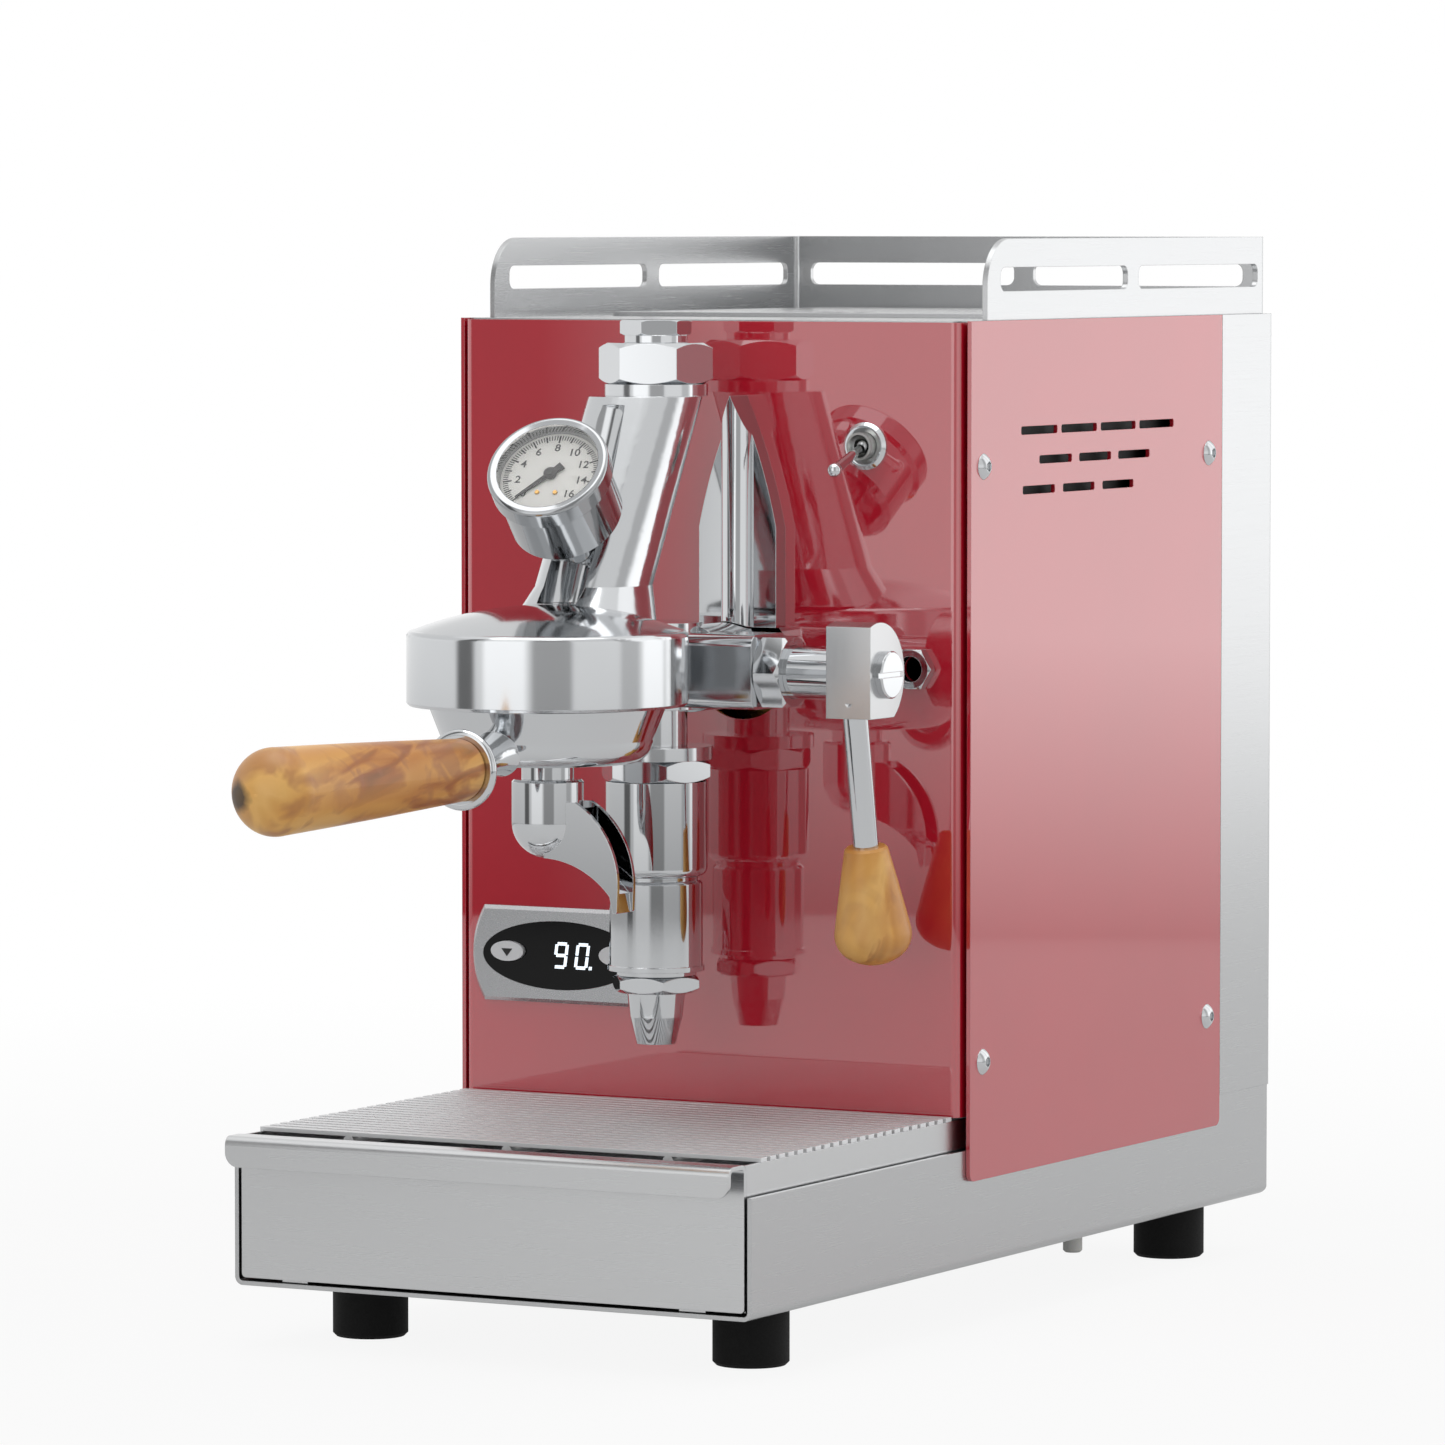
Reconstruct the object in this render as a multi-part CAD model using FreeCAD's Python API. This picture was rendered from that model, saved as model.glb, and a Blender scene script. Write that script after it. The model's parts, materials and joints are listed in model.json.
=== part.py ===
import FreeCAD, Part
import math
import os

# Espresso machine with a lever group head. Millimetres, +Z up, front towards -Y,
# origin on the floor under the middle of the machine's overall box.

V = FreeCAD.Vector
UP = V(0, 0, 1)
DOWN = V(0, 0, -1)
FORWARD = V(0, -1, 0)
BACK = V(0, 1, 0)
RIGHT = V(1, 0, 0)

# Base, feet and sheet metal
base_width = 200.0
base_depth = 404.0
base_wall_height = 41.0
sheet = 1.5
bend_radius = 3.0
foot_diameter = 26.0
foot_height = 21.3
foot_recess_diameter = 12.0
foot_recess_depth = 8.0
foot_inset = 25.5
foot_front_setback = 47.0
foot_rear_setback = 373.0
foot_screw_diameter = 4.0
foot_screw_head = 8.0
foot_screw_head_height = 3.5
screw_clearance = 0.1
stub_diameter = 7.0
stub_drop = 10.0
stub_stem = 4.8
stub_inset = 22.0
stub_setback = 285.0

# Drip tray and grate
drawer_gap = 1.2
tray_sheet = 1.0
tray_length = 170.0
tray_wall_top = 72.9
runner_width = 10.0
runner_gap = 0.3
lip_rise = 0.4
lip_reach = 10.6
lip_drop = 10.4
lip_corner = 5.0
grate_front_setback = 12.0
grate_panel_gap = 2.5
grate_thickness = 1.5
grate_bar_width = 4.1
grate_bar_count = 22
grate_overhang = 0.2
grate_rod_diameter = 4.0
grate_rod_inset = 38.0

# Body panels
panel_setback = 153.0
panel_bottom = 73.8
panel_edge_inset = 1.6
panel_flange = 7.0
body_top = 348.8
panel_top_gap = 0.5
skin_gap = 0.1
side_panel_front = 156.0
side_panel_rear = 359.0
side_panel_bottom = 51.4
side_corner = 3.0
joint_gap = 0.3
chassis_inset = 3.5
chassis_front = 157.0
side_screw_front = 165.7
side_screw_rear = 347.8
side_screw_high = 298.6
side_screw_low = 92.4
side_screw_head = 9.2
side_screw_head_height = 2.4
side_screw_shank = 4.0
side_screw_length = 8.0
spacer_diameter = 10.0
vent_height = 2.9

# Cup rail and tank lid
rail_inset = 2.3
rail_sheet = 2.0
rail_height = 28.3
rail_front = 172.7
rail_rear_gap = 1.8
rail_front_radius = 17.0
rail_corner = 4.0
rail_slot_bottom = 10.0
rail_slot_height = 8.3
rail_slot_front_margin = 10.3
rail_slot_rear_margin = 7.8
rail_side_post = 9.0
rail_back_post = 8.0
rail_back_margin = 8.8
rail_slot_radius = 3.0
hatch_inset = 24.0
hatch_front = 229.0
hatch_rear = 386.0
lid_overlap = 4.0
lid_thickness = 1.5
lid_rim_depth = 3.6
lid_clearance = 0.5
lid_finger_hole = 24.0

# Group head
cross_height = 228.9
valve_standoff = 37.4
bell_offset = 75.4
bell_diameter = 95.4
bell_bottom = -8.9
bell_top = 16.5
bell_edge = 2.0
dome_rise = 8.5
lip_bore = 36.2
lug_bore = 40.6
lip_height = 5.2
lug_channel = 7.8
gasket_depth = 7.5
lug_entry_turn = -45.0
lug_span = 34.0
neck_top = 94.1
neck_top_width = 39.0
neck_top_length = 42.0
neck_top_lead = 7.6
neck_foot_width = 38.5
neck_foot_length = 46.0
neck_foot_lead = 51.0
neck_foot = 17.0
neck_groove_radius = 8.0
neck_blend = 2.5
valve_body_diameter = 32.0
valve_body_top = 16.0
valve_body_bottom = -14.0
valve_neck_diameter = 22.0
valve_flange_diameter = 39.4
valve_flange_bottom = -31.5
valve_flange_thickness = 4.6
block_size = 25.7
block_start = 13.0
block_end = 44.4
block_round = 4.0
rear_pipe_x = 13.5
rear_pipe_diameter = 30.0
rear_pipe_end = 19.0
panel_hole_gap = 4.5
chamber_radius = 9.6
chamber_left = -10.0
back_plate_x = 15.6
back_plate_half = 15.2
back_plate_thickness = 7.0
back_plate_bottom = 13.2
back_plate_shoulder = 48.0
back_plate_tip = 93.7
back_plate_rib = 5.7
gasket_inner = 29.0
gasket_clearance = 0.2
screen_radius = 28.6
screen_height = 5.5
screen_wall = 1.2

# Top cap and plug
collar_diameter = 36.0
collar_height = 4.1
cap_flats = 34.5
cap_height = 14.2
plug_ring_diameter = 22.2
plug_ring_height = 2.6
plug_flats = 21.5
plug_height = 5.3

# Lever
gland_flats = 24.0
gland_length = 10.1
spindle_radius = 9.2
running_clearance = 0.08
spindle_end = 72.7
cam_radius = 6.0
cam_throw = 1.5
cam_left = -8.0
stem_diameter = 6.0
stem_clearance = 0.3
stem_head_diameter = 10.0
stem_head_height = 3.0
stem_length = 36.0
head_width = 17.0
head_radius = 18.0
head_lead = 4.4
head_front = 11.6
head_bottom = 14.8
head_screw_diameter = 16.3
head_screw_height = 2.7
head_screw_slot = 1.8
rod_diameter = 8.9
rod_lead = 6.2
rod_tilt = 10.0
rod_length = 60.0
rod_socket = 6.0
knob_top_diameter = 15.0
knob_diameter = 26.2
knob_length = 41.5
knob_wide_at = 0.70
lever_bush_flats = 13.6
lever_bush_height = 4.5
lever_bush_bore = 9.0
lever_bush_offset = 0.7

# Infusion chamber under the valve
infusion_nut_flats = 34.5
infusion_nut_height = 7.6
cylinder_diameter = 35.7
cylinder_height = 33.0
cylinder_chamfer = 3.0
cylinder_cavity = 24.0
sleeve_diameter = 32.3
sleeve_neck_diameter = 29.0
sleeve_neck_height = 1.3
sleeve_height = 29.6
rim_diameter = 33.6
rim_height = 1.8
step_diameter = 28.0
step_height = 1.6
exhaust_nut_flats = 27.8
exhaust_nut_height = 6.0
nozzle_top_diameter = 20.2
nozzle_waist_diameter = 18.4
nozzle_tip_diameter = 13.8
nozzle_height = 18.0
nozzle_bore = 9.0

# Pressure gauge
gauge_diameter = 42.2
gauge_depth = 28.7
gauge_rise = 40.0
gauge_turn = 10.8
gauge_face_lead = 83.0
gauge_face_height = 72.4
gauge_face_x = 4.2
gauge_bezel = 3.4
gauge_bezel_length = 9.0
gauge_body_step = 1.6
gauge_glass_thickness = 1.5
gauge_well = 5.0
gauge_stem_diameter = 12.0
gauge_plug_diameter = 11.0
gauge_plug_height = 3.2
gauge_plug_depth = 14.0
dial_thickness = 0.8
needle_length = 14.5
needle_tail = 5.0
needle_hub = 2.2
needle_thickness = 0.7
needle_gap = 0.4
needle_zero = -135.0
glass_clearance = 0.05

# Portafilter
holder_top_diameter = 80.2
holder_waist_diameter = 71.6
holder_height = 19.0
holder_round = 8.0
holder_gap = 0.5
rim_diameter_inside = 70.8
rim_gap = 0.3
lug_clearance = 0.5
basket_wall = 1.0
basket_diameter = 60.0
basket_depth = 24.0
basket_rim = 64.6
boss_diameter = 17.8
boss_height = 5.5
cup_diameter = 24.4
cup_height = 26.8
cup_wall = 1.6
chute_width = 12.4
chute_wall = 1.5
chute_reach = 30.4
chute_drop = 17.5
handle_end_radius = 187.0
handle_drop = 27.4
neck_root_drop = 22.3
neck_root_diameter = 18.0
neck_end_diameter = 14.0
ferrule_radius_at = 55.0
ferrule_thickness = 4.5
ferrule_diameter = 27.2
handle_start_diameter = 21.0
handle_end_diameter = 28.6
handle_end_round = 13.0

# Toggle switch
toggle_inset = 37.7
toggle_height = 305.5
toggle_nut_diameter = 16.6
toggle_nut_height = 2.0
toggle_bush_diameter = 9.6
toggle_bush_length = 5.5
toggle_pivot_lead = 2.0
toggle_body_depth = 22.0
toggle_body_size = 13.0
bat_angle = 20.0
bat_length = 25.0
bat_root_radius = 1.4
bat_neck_radius = 2.0
bat_ball_radius = 2.5
bat_pivot_radius = 2.4
bat_clearance = 0.4

# Temperature display
display_inset = 41.5
display_height = 123.5
display_width = 72.0
display_tall = 33.9
display_bulge = 4.7
display_thickness = 2.6
lens_width = 62.0
lens_tall = 24.2
lens_proud = 0.4
lens_depth = 10.0
lens_clearance = 0.1
button_width = 13.2
button_tall = 7.1
button_offset = 22.0
button_shift = 1.6
button_rise = 1.0
button_proud = 1.4
button_depth = 4.0
button_clearance = 0.3

# Inside the body
shelf_height = 104.0
tank_inset = 28.0
tank_front = 285.0
tank_rear = 384.0
tank_top = 335.0
tank_wall = 2.5
pump_inset = 38.0
tank_outlet_setback = 340.0
tank_outlet_diameter = 10.0
tank_outlet_drop = 24.0
boiler_setback = 225.0
boiler_share = 0.48
boiler_bottom = 168.0
boiler_top = 300.0
boiler_wall = 3.0
boiler_boss_diameter = 36.0
element_flange_diameter = 60.0
element_flange_height = 6.0
element_rod_diameter = 8.0
element_rod_spread = 20.0
element_rod_drop = 100.0
terminal_diameter = 5.0
terminal_height = 14.0
element_hole_diameter = 44.0
pump_radius = 22.0
pump_front = 195.0
pump_rear = 310.0
pump_height = 50.0
pump_outlet_setback = 250.0
pump_foot_half = 16.0
nipple_diameter = 10.0
nipple_length = 8.0
pipe_diameter = 6.0
pipe_bend = 10.0
feed_height = 215.0
hose_diameter = 9.0
hose_bend = 15.0
control_width = 22.0
control_front = 190.0
control_rear = 262.0
control_bottom = 110.0
control_top = 200.0
inlet_inset = 50.0
inlet_drop = 20.0
inlet_width = 28.0
inlet_tall = 20.0
inlet_depth = 24.0
inlet_wall = 3.0
inlet_socket_depth = 16.0
inlet_pin_recess = 5.5

# Places worked out from the sizes above
half_width = base_width / 2
foot_spread = base_width - 2 * foot_inset
stub_x = half_width - stub_inset
toggle_x = half_width - toggle_inset
display_x = display_inset - half_width
grate_rod_spread = half_width - grate_rod_inset
hatch_half_width = half_width - hatch_inset
tank_half_width = half_width - tank_inset
tank_outlet_x = pump_inset - half_width
inlet_x = half_width - inlet_inset
inlet_height = shelf_height - inlet_drop
lever_bush_x = spindle_end + head_width / 2 + lever_bush_offset
boiler_radius = boiler_share * half_width
bell_setback = panel_setback - valve_standoff - bell_offset
base_front = (handle_end_radius - bell_setback - base_depth) / 2
base_rear = base_front + base_depth
floor_bottom = foot_height
floor_top = foot_height + sheet
wall_top = foot_height + base_wall_height
panel_y = base_front + panel_setback
panel_back = panel_y + sheet
valve_y = panel_y - valve_standoff
bell_y = valve_y - bell_offset
skin_outer = half_width + skin_gap + sheet
skin_inner = half_width + skin_gap
chassis_outer = half_width - chassis_inset
chassis_inner = chassis_outer - sheet
boiler_y = base_front + boiler_setback
gasket_face = cross_height + bell_bottom + lip_height + lug_channel
bell_roof = gasket_face + gasket_depth
flange_bottom = cross_height + valve_flange_bottom
cylinder_top = flange_bottom - infusion_nut_height
cylinder_bottom = cylinder_top - cylinder_height
sleeve_top = cylinder_bottom - sleeve_neck_height
sleeve_bottom = sleeve_top - sleeve_height
rim_bottom = sleeve_bottom - rim_height
step_bottom = rim_bottom - step_height
nozzle_top = step_bottom - exhaust_nut_height
drawer_half = half_width - sheet - drawer_gap
tray_half = drawer_half - joint_gap
drawer_bottom = floor_top + drawer_gap
lip_top = tray_wall_top + lip_rise
grate_top = tray_wall_top + grate_thickness

pieces = {}


def box(x0, x1, y0, y1, z0, z1):
    """Box between two corners."""
    return Part.makeBox(x1 - x0, y1 - y0, z1 - z0, V(x0, y0, z0))


def rod(start, direction, diameter, length):
    """Round bar from a start point along a direction."""
    return Part.makeCylinder(diameter / 2, length, start, direction)


def wire(points, place):
    """Closed wire. A pair is a corner, and four numbers are an arc through the first pair to the second."""
    edges = []
    here = place(*points[0])
    for point in points[1:]:
        there = place(*point[-2:])
        if len(point) == 4:
            edges.append(Part.Arc(here, place(*point[:2]), there).toShape())
        else:
            edges.append(Part.LineSegment(here, there).toShape())
        here = there
    first = place(*points[0])
    if here.distanceToPoint(first) > 1e-6:
        edges.append(Part.LineSegment(here, first).toShape())
    return Part.Wire(edges)


def turned(points, origin, direction=UP):
    """Turned piece: (radius, height) outline spun about an axis from the origin along a direction."""
    face = Part.Face(wire(points, lambda r, s: V(r, 0, s)))
    solid = face.revolve(V(0, 0, 0), UP, 360)
    solid.Placement = FreeCAD.Placement(origin, FreeCAD.Rotation(UP, direction))
    return solid


def dome(radius, low, high):
    """Arc of a turned outline that closes it over the axis as part of a sphere."""
    rise = high - low
    sphere = (radius * radius + rise * rise) / (2 * rise)
    middle = radius / 2
    return (middle, high - sphere + math.sqrt(sphere * sphere - middle * middle), 0, high)


def plate_y(points, y0, y1):
    """Flat piece with an outline in X and Z, from one depth to another."""
    face = Part.Face(wire(points, lambda x, z: V(x, y0, z)))
    return face.extrude(V(0, y1 - y0, 0))


def plate_x(points, x0, x1):
    """Flat piece with an outline in Y and Z, from one side to another."""
    face = Part.Face(wire(points, lambda y, z: V(x0, y, z)))
    return face.extrude(V(x1 - x0, 0, 0))


def hexagon(flats, height, origin, direction, chamfer=0.06, turn=0.0):
    """Hexagon nut blank with its corners turned off at both ends."""
    corner = flats / math.sqrt(3)
    angles = [math.radians(60 * i + turn) for i in range(6)]
    points = [(corner * math.cos(a), corner * math.sin(a)) for a in angles]
    face = Part.Face(wire(points, lambda x, y: V(x, y, 0)))
    blank = face.extrude(V(0, 0, height))
    cut = chamfer * flats
    cone = turned([(0, 0), (corner - cut, 0), (corner, cut * 0.6), (corner, height - cut * 0.6),
                   (corner - cut, height), (0, height)], V(0, 0, 0))
    nut = blank.common(cone)
    nut.Placement = FreeCAD.Placement(origin, FreeCAD.Rotation(UP, direction))
    return nut


def oval(x, z, width, tall, y0, y1):
    """Oval slab facing the front."""
    curve = Part.Ellipse(V(width / 2, 0, 0), V(0, tall / 2, 0), V(0, 0, 0))
    face = Part.Face(Part.Wire([curve.toShape()]))
    slab = face.extrude(V(0, 0, y1 - y0))
    slab.Placement = FreeCAD.Placement(V(x, y0, z), FreeCAD.Rotation(RIGHT, -90))
    return slab


def edges_where(shape, test):
    """Edges of a shape whose middle passes a test."""
    return [e for e in shape.Edges if test(e.CenterOfMass, e)]


def rounded(shape, radius, test):
    """Shape with the chosen edges rounded."""
    return shape.makeFillet(radius, edges_where(shape, test))


def along(edge, axis):
    """True for a straight edge that runs along an axis."""
    run = edge.Vertexes[-1].Point - edge.Vertexes[0].Point
    return run.Length > 1e-6 and abs(run.normalize().dot(axis)) > 0.999


def slot_cutter(x0, x1, y0, y1, z0, z1, radius, axis):
    """Box cutter whose corners are rounded about an axis."""
    cutter = box(x0, x1, y0, y1, z0, z1)
    return cutter.makeFillet(radius, [e for e in cutter.Edges if along(e, axis)])


def solid(shape):
    """Single clean solid of a boolean result."""
    clean = shape.removeSplitter()
    return clean.Solids[0] if len(clean.Solids) == 1 else clean


def mirror_x(shape):
    """Copy on the other side of the machine."""
    return shape.mirror(V(0, 0, 0), RIGHT)


def tube_path(points, bend, diameter):
    """Bent tube: straight runs joined by tangent arcs."""
    edges = []
    here = points[0]
    for before, corner, after in zip(points, points[1:], points[2:]):
        arrive = (corner - before).normalize()
        leave = (after - corner).normalize()
        half = arrive.getAngle(leave) / 2
        back = bend * math.tan(half)
        enter = corner - arrive * back
        exit_point = corner + leave * back
        inward = (leave - arrive).normalize()
        middle = corner + inward * (bend / math.cos(half) - bend)
        edges.append(Part.LineSegment(here, enter).toShape())
        edges.append(Part.Arc(enter, middle, exit_point).toShape())
        here = exit_point
    edges.append(Part.LineSegment(here, points[-1]).toShape())
    spine = Part.Wire(edges)
    start = (points[1] - points[0]).normalize()
    section = Part.Wire([Part.Circle(points[0], start, diameter / 2).toShape()])
    return spine.makePipeShell([section], True, True)


# Feet and base
foot_places = {
    "foot_front_left": (-foot_spread / 2, base_front + foot_front_setback),
    "foot_front_right": (foot_spread / 2, base_front + foot_front_setback),
    "foot_rear_left": (-foot_spread / 2, base_front + foot_rear_setback),
    "foot_rear_right": (foot_spread / 2, base_front + foot_rear_setback),
}


def make_foot(x, y):
    """Rubber foot with a recess for its screw and a softened lower edge."""
    hole = foot_screw_diameter / 2 + screw_clearance
    outer = foot_diameter / 2
    recess = foot_recess_diameter / 2
    outline = [(recess, 0), (outer - 1.2, 0), (outer, 1.2), (outer, foot_height), (hole, foot_height),
               (hole, foot_recess_depth), (recess, foot_recess_depth)]
    return turned(outline, V(x, y, 0))


def make_foot_screw(x, y):
    """Pan head screw from the recess of the foot up into the base floor."""
    shank = foot_screw_diameter / 2
    head = foot_screw_head / 2
    low = foot_recess_depth - foot_screw_head_height
    outline = [(0, low), (head - 0.8, low), (head, low + 0.8), (head, foot_recess_depth),
               (shank, foot_recess_depth), (shank, floor_top), (0, floor_top)]
    return turned(outline, V(x, y, 0))


def make_base():
    """Tub of bent sheet: floor, side walls and rear wall, open at the front for the tray."""
    outer = box(-half_width, half_width, base_front, base_rear, floor_bottom, wall_top)
    outer = rounded(outer, bend_radius, lambda c, e: abs(c.z - floor_bottom) < 0.01 and (
        along(e, BACK) or (along(e, RIGHT) and c.y > 0)))
    inner = box(-half_width + sheet, half_width - sheet, base_front - sheet, base_rear - sheet,
                floor_top, wall_top + sheet)
    inner = rounded(inner, bend_radius - sheet, lambda c, e: abs(c.z - floor_top) < 0.01 and (
        along(e, BACK) or (along(e, RIGHT) and c.y > 0)))
    tub = outer.cut(inner)
    hole = foot_screw_diameter + 2 * screw_clearance
    for x, y in foot_places.values():
        tub = tub.cut(rod(V(x, y, 0), UP, hole, wall_top))
    stub_hole = stub_stem + 2 * screw_clearance
    tub = tub.cut(rod(V(stub_x, base_front + stub_setback, 0), UP, stub_hole, wall_top))
    return solid(tub)


for name, (x, y) in foot_places.items():
    pieces[name] = make_foot(x, y)
pieces["foot_screws"] = Part.makeCompound([make_foot_screw(x, y) for x, y in foot_places.values()])
pieces["base_tub"] = make_base()
stub = stub_diameter / 2
pieces["drain_stub"] = turned(
    [(0, floor_bottom - stub_drop), (stub - 0.8, floor_bottom - stub_drop), (stub, floor_bottom - stub_drop + 0.8),
     (stub, floor_bottom), (stub_stem / 2, floor_bottom), (stub_stem / 2, floor_top), (stub + 1, floor_top),
     (stub + 1, floor_top + 2), (0, floor_top + 2)], V(stub_x, base_front + stub_setback, 0))


# Drip tray and grate
def make_tray():
    """Drawer tray: welded box behind a front plate whose top is bent forward and down as a pull lip."""
    front = base_front
    tip = front - lip_reach
    turn = bend_radius - sheet
    low = lip_top - lip_drop
    half = math.sqrt(0.5)
    profile = [(front + sheet, drawer_bottom), (front + sheet, lip_top - bend_radius),
               (front + sheet - bend_radius * (1 - half), lip_top - bend_radius * (1 - half),
                front + sheet - bend_radius, lip_top),
               (tip + bend_radius, lip_top),
               (tip + bend_radius * (1 - half), lip_top - bend_radius * (1 - half), tip, lip_top - bend_radius),
               (tip, low), (tip + sheet, low), (tip + sheet, lip_top - bend_radius),
               (tip + sheet + turn * (1 - half), lip_top - sheet - turn * (1 - half),
                tip + bend_radius, lip_top - sheet),
               (front + sheet - bend_radius, lip_top - sheet),
               (front - turn * (1 - half), lip_top - bend_radius + turn * half, front, lip_top - bend_radius),
               (front, drawer_bottom)]
    plate = plate_x(profile, -drawer_half, drawer_half)
    plate = rounded(plate, lip_corner, lambda c, e: along(e, BACK) and c.y < front - lip_reach / 2
                    and abs(c.z - low) < 0.01)
    plate = rounded(plate, bend_radius - sheet, lambda c, e: along(e, BACK) and abs(c.z - drawer_bottom) < 0.01)
    outer = box(-tray_half, tray_half, front + sheet, front + tray_length, drawer_bottom, tray_wall_top)
    inner = box(-tray_half + tray_sheet, tray_half - tray_sheet, front + sheet + tray_sheet,
                front + tray_length - tray_sheet, drawer_bottom + tray_sheet, tray_wall_top + tray_sheet)
    tray = plate.fuse(outer.cut(inner))
    for side in (-1, 1):
        middle = side * (tray_half - 2 * runner_width)
        tray = tray.fuse(box(middle - runner_width / 2, middle + runner_width / 2, front + sheet,
                             front + tray_length, floor_top + runner_gap, drawer_bottom))
    return solid(tray)


def make_grate():
    """Flat bars across the tray, resting on its walls and welded to rods that run front to back."""
    half = tray_half + grate_overhang
    front = base_front + grate_front_setback
    rear = panel_y - grate_panel_gap
    step = (rear - front - grate_bar_width) / (grate_bar_count - 1)
    bars = []
    for i in range(grate_bar_count):
        low = front + i * step
        bars.append(box(-half, half, low, low + grate_bar_width, tray_wall_top, grate_top))
    rod_z = tray_wall_top - grate_rod_diameter / 2 + grate_thickness / 4
    rods = [rod(V(x, front, rod_z), BACK, grate_rod_diameter, rear - front)
            for x in (-grate_rod_spread, 0, grate_rod_spread)]
    return solid(bars[0].multiFuse(bars[1:] + rods))


pieces["drip_tray"] = make_tray()
pieces["drip_grate"] = make_grate()

# Body panels
side_screw_places = [(base_front + y, z) for y in (side_screw_front, side_screw_rear)
                     for z in (side_screw_high, side_screw_low)]
rear_pipe_hole = rear_pipe_diameter + 2 * panel_hole_gap


def make_front_panel():
    """Painted front sheet with folded side edges and holes for the group, the switch, the bush and the display."""
    half = half_width - panel_edge_inset
    top = body_top - panel_top_gap
    outer = box(-half, half, panel_y, panel_y + panel_flange, panel_bottom, top)
    outer = rounded(outer, bend_radius, lambda c, e: along(e, UP) and c.y < panel_y + 0.01)
    inner = box(-half + sheet, half - sheet, panel_back, panel_y + panel_flange + sheet,
                panel_bottom - sheet, top + sheet)
    inner = rounded(inner, bend_radius - sheet, lambda c, e: along(e, UP) and c.y < panel_back + 0.01)
    panel = outer.cut(inner)
    through = 3 * sheet
    panel = panel.cut(rod(V(rear_pipe_x, panel_y - sheet, cross_height), BACK, rear_pipe_hole, through))
    panel = panel.cut(rod(V(toggle_x, panel_y - sheet, toggle_height), BACK,
                          toggle_bush_diameter + 2 * screw_clearance, through))
    panel = panel.cut(rod(V(lever_bush_x, panel_y - sheet, cross_height), BACK, lever_bush_bore, through))
    panel = panel.cut(oval(display_x, display_height, lens_width, lens_tall, panel_y - sheet, panel_back + sheet))
    return solid(panel)


def vent_rows():
    """Start, slot length, pitch, count and height of each row of vent slots."""
    first = base_front + 194.5
    return [(first, 28.5, 31.6, 4, 310.3), (first + 14.3, 25.8, 31.6, 3, 299.9), (first + 1.3, 25.3, 31.7, 3, 289.5)]


def make_side_panel():
    """Painted right side sheet with rounded corners, screw holes and three staggered rows of vent slots."""
    front = base_front + side_panel_front
    rear = base_front + side_panel_rear
    panel = box(skin_inner, skin_outer, front, rear, side_panel_bottom, body_top)
    panel = rounded(panel, side_corner, lambda c, e: along(e, RIGHT) and abs(c.z - side_panel_bottom) < 0.01)
    hole = side_screw_shank + 4 * screw_clearance
    for y, z in side_screw_places:
        panel = panel.cut(rod(V(skin_inner - sheet, y, z), RIGHT, hole, 3 * sheet))
    for start, length, pitch, count, z in vent_rows():
        for i in range(count):
            y = start + i * pitch
            panel = panel.cut(slot_cutter(skin_inner - sheet, skin_outer + sheet, y, y + length,
                                          z - vent_height / 2, z + vent_height / 2, vent_height * 0.3, RIGHT))
    return solid(panel)


def make_side_screw(y, z):
    """Dome head screw with a hexagon socket, through the side sheet into the chassis."""
    head = side_screw_head / 2
    shank = side_screw_shank / 2
    high = side_screw_head_height
    outline = [(0, -side_screw_length), (shank, -side_screw_length), (shank, 0), (head, 0),
               dome(head, 0, high)]
    screw = turned(outline, V(skin_outer, y, z), RIGHT)
    socket = hexagon(side_screw_head * 0.36, high, V(skin_outer + high * 0.4, y, z), RIGHT, 0.01)
    return solid(screw.cut(socket))


def make_chassis():
    """Inner frame of bent sheet: two sides, a top with the tank hatch, a tank shelf and screw spacers."""
    front = base_front + chassis_front
    rear = base_rear - sheet - skin_gap - joint_gap
    low_front = base_front + tray_length + 3 * joint_gap
    top = body_top - sheet
    tray_clear = panel_bottom + sheet
    outline = [(low_front, floor_top), (rear - bend_radius, floor_top), (rear, floor_top + bend_radius),
               (rear, top), (front, top), (front, tray_clear),
               (low_front, tray_clear)]
    right = plate_x(outline, chassis_inner, chassis_outer)
    for y, z in side_screw_places:
        right = right.fuse(rod(V(chassis_inner, y, z), RIGHT, spacer_diameter, skin_inner - chassis_inner))
    for y, z in side_screw_places:
        right = right.cut(rod(V(chassis_inner - sheet, y, z), RIGHT, side_screw_shank + 2 * screw_clearance,
                              skin_outer - chassis_inner + 2 * sheet))
    roof = box(-chassis_outer, chassis_outer, front, rear, top - sheet, top)
    shelf = box(-chassis_outer, chassis_outer, base_front + tank_front - tank_wall, rear,
                shelf_height, shelf_height + sheet)
    frame = right.multiFuse([mirror_x(right), roof, shelf])
    frame = frame.cut(hatch_cutter(0.0))
    frame = frame.cut(rod(V(tank_outlet_x, base_front + tank_outlet_setback, shelf_height - sheet), UP,
                          tank_outlet_diameter + 4 * screw_clearance, 4 * sheet))
    return solid(frame)


def hatch_cutter(inset):
    """Upright block of the tank hatch's outline, drawn in by an inset."""
    return slot_cutter(-hatch_half_width + inset, hatch_half_width - inset, base_front + hatch_front + inset,
                       base_front + hatch_rear - inset, body_top - 4 * sheet, body_top + 4 * sheet,
                       rail_corner, UP)


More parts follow.
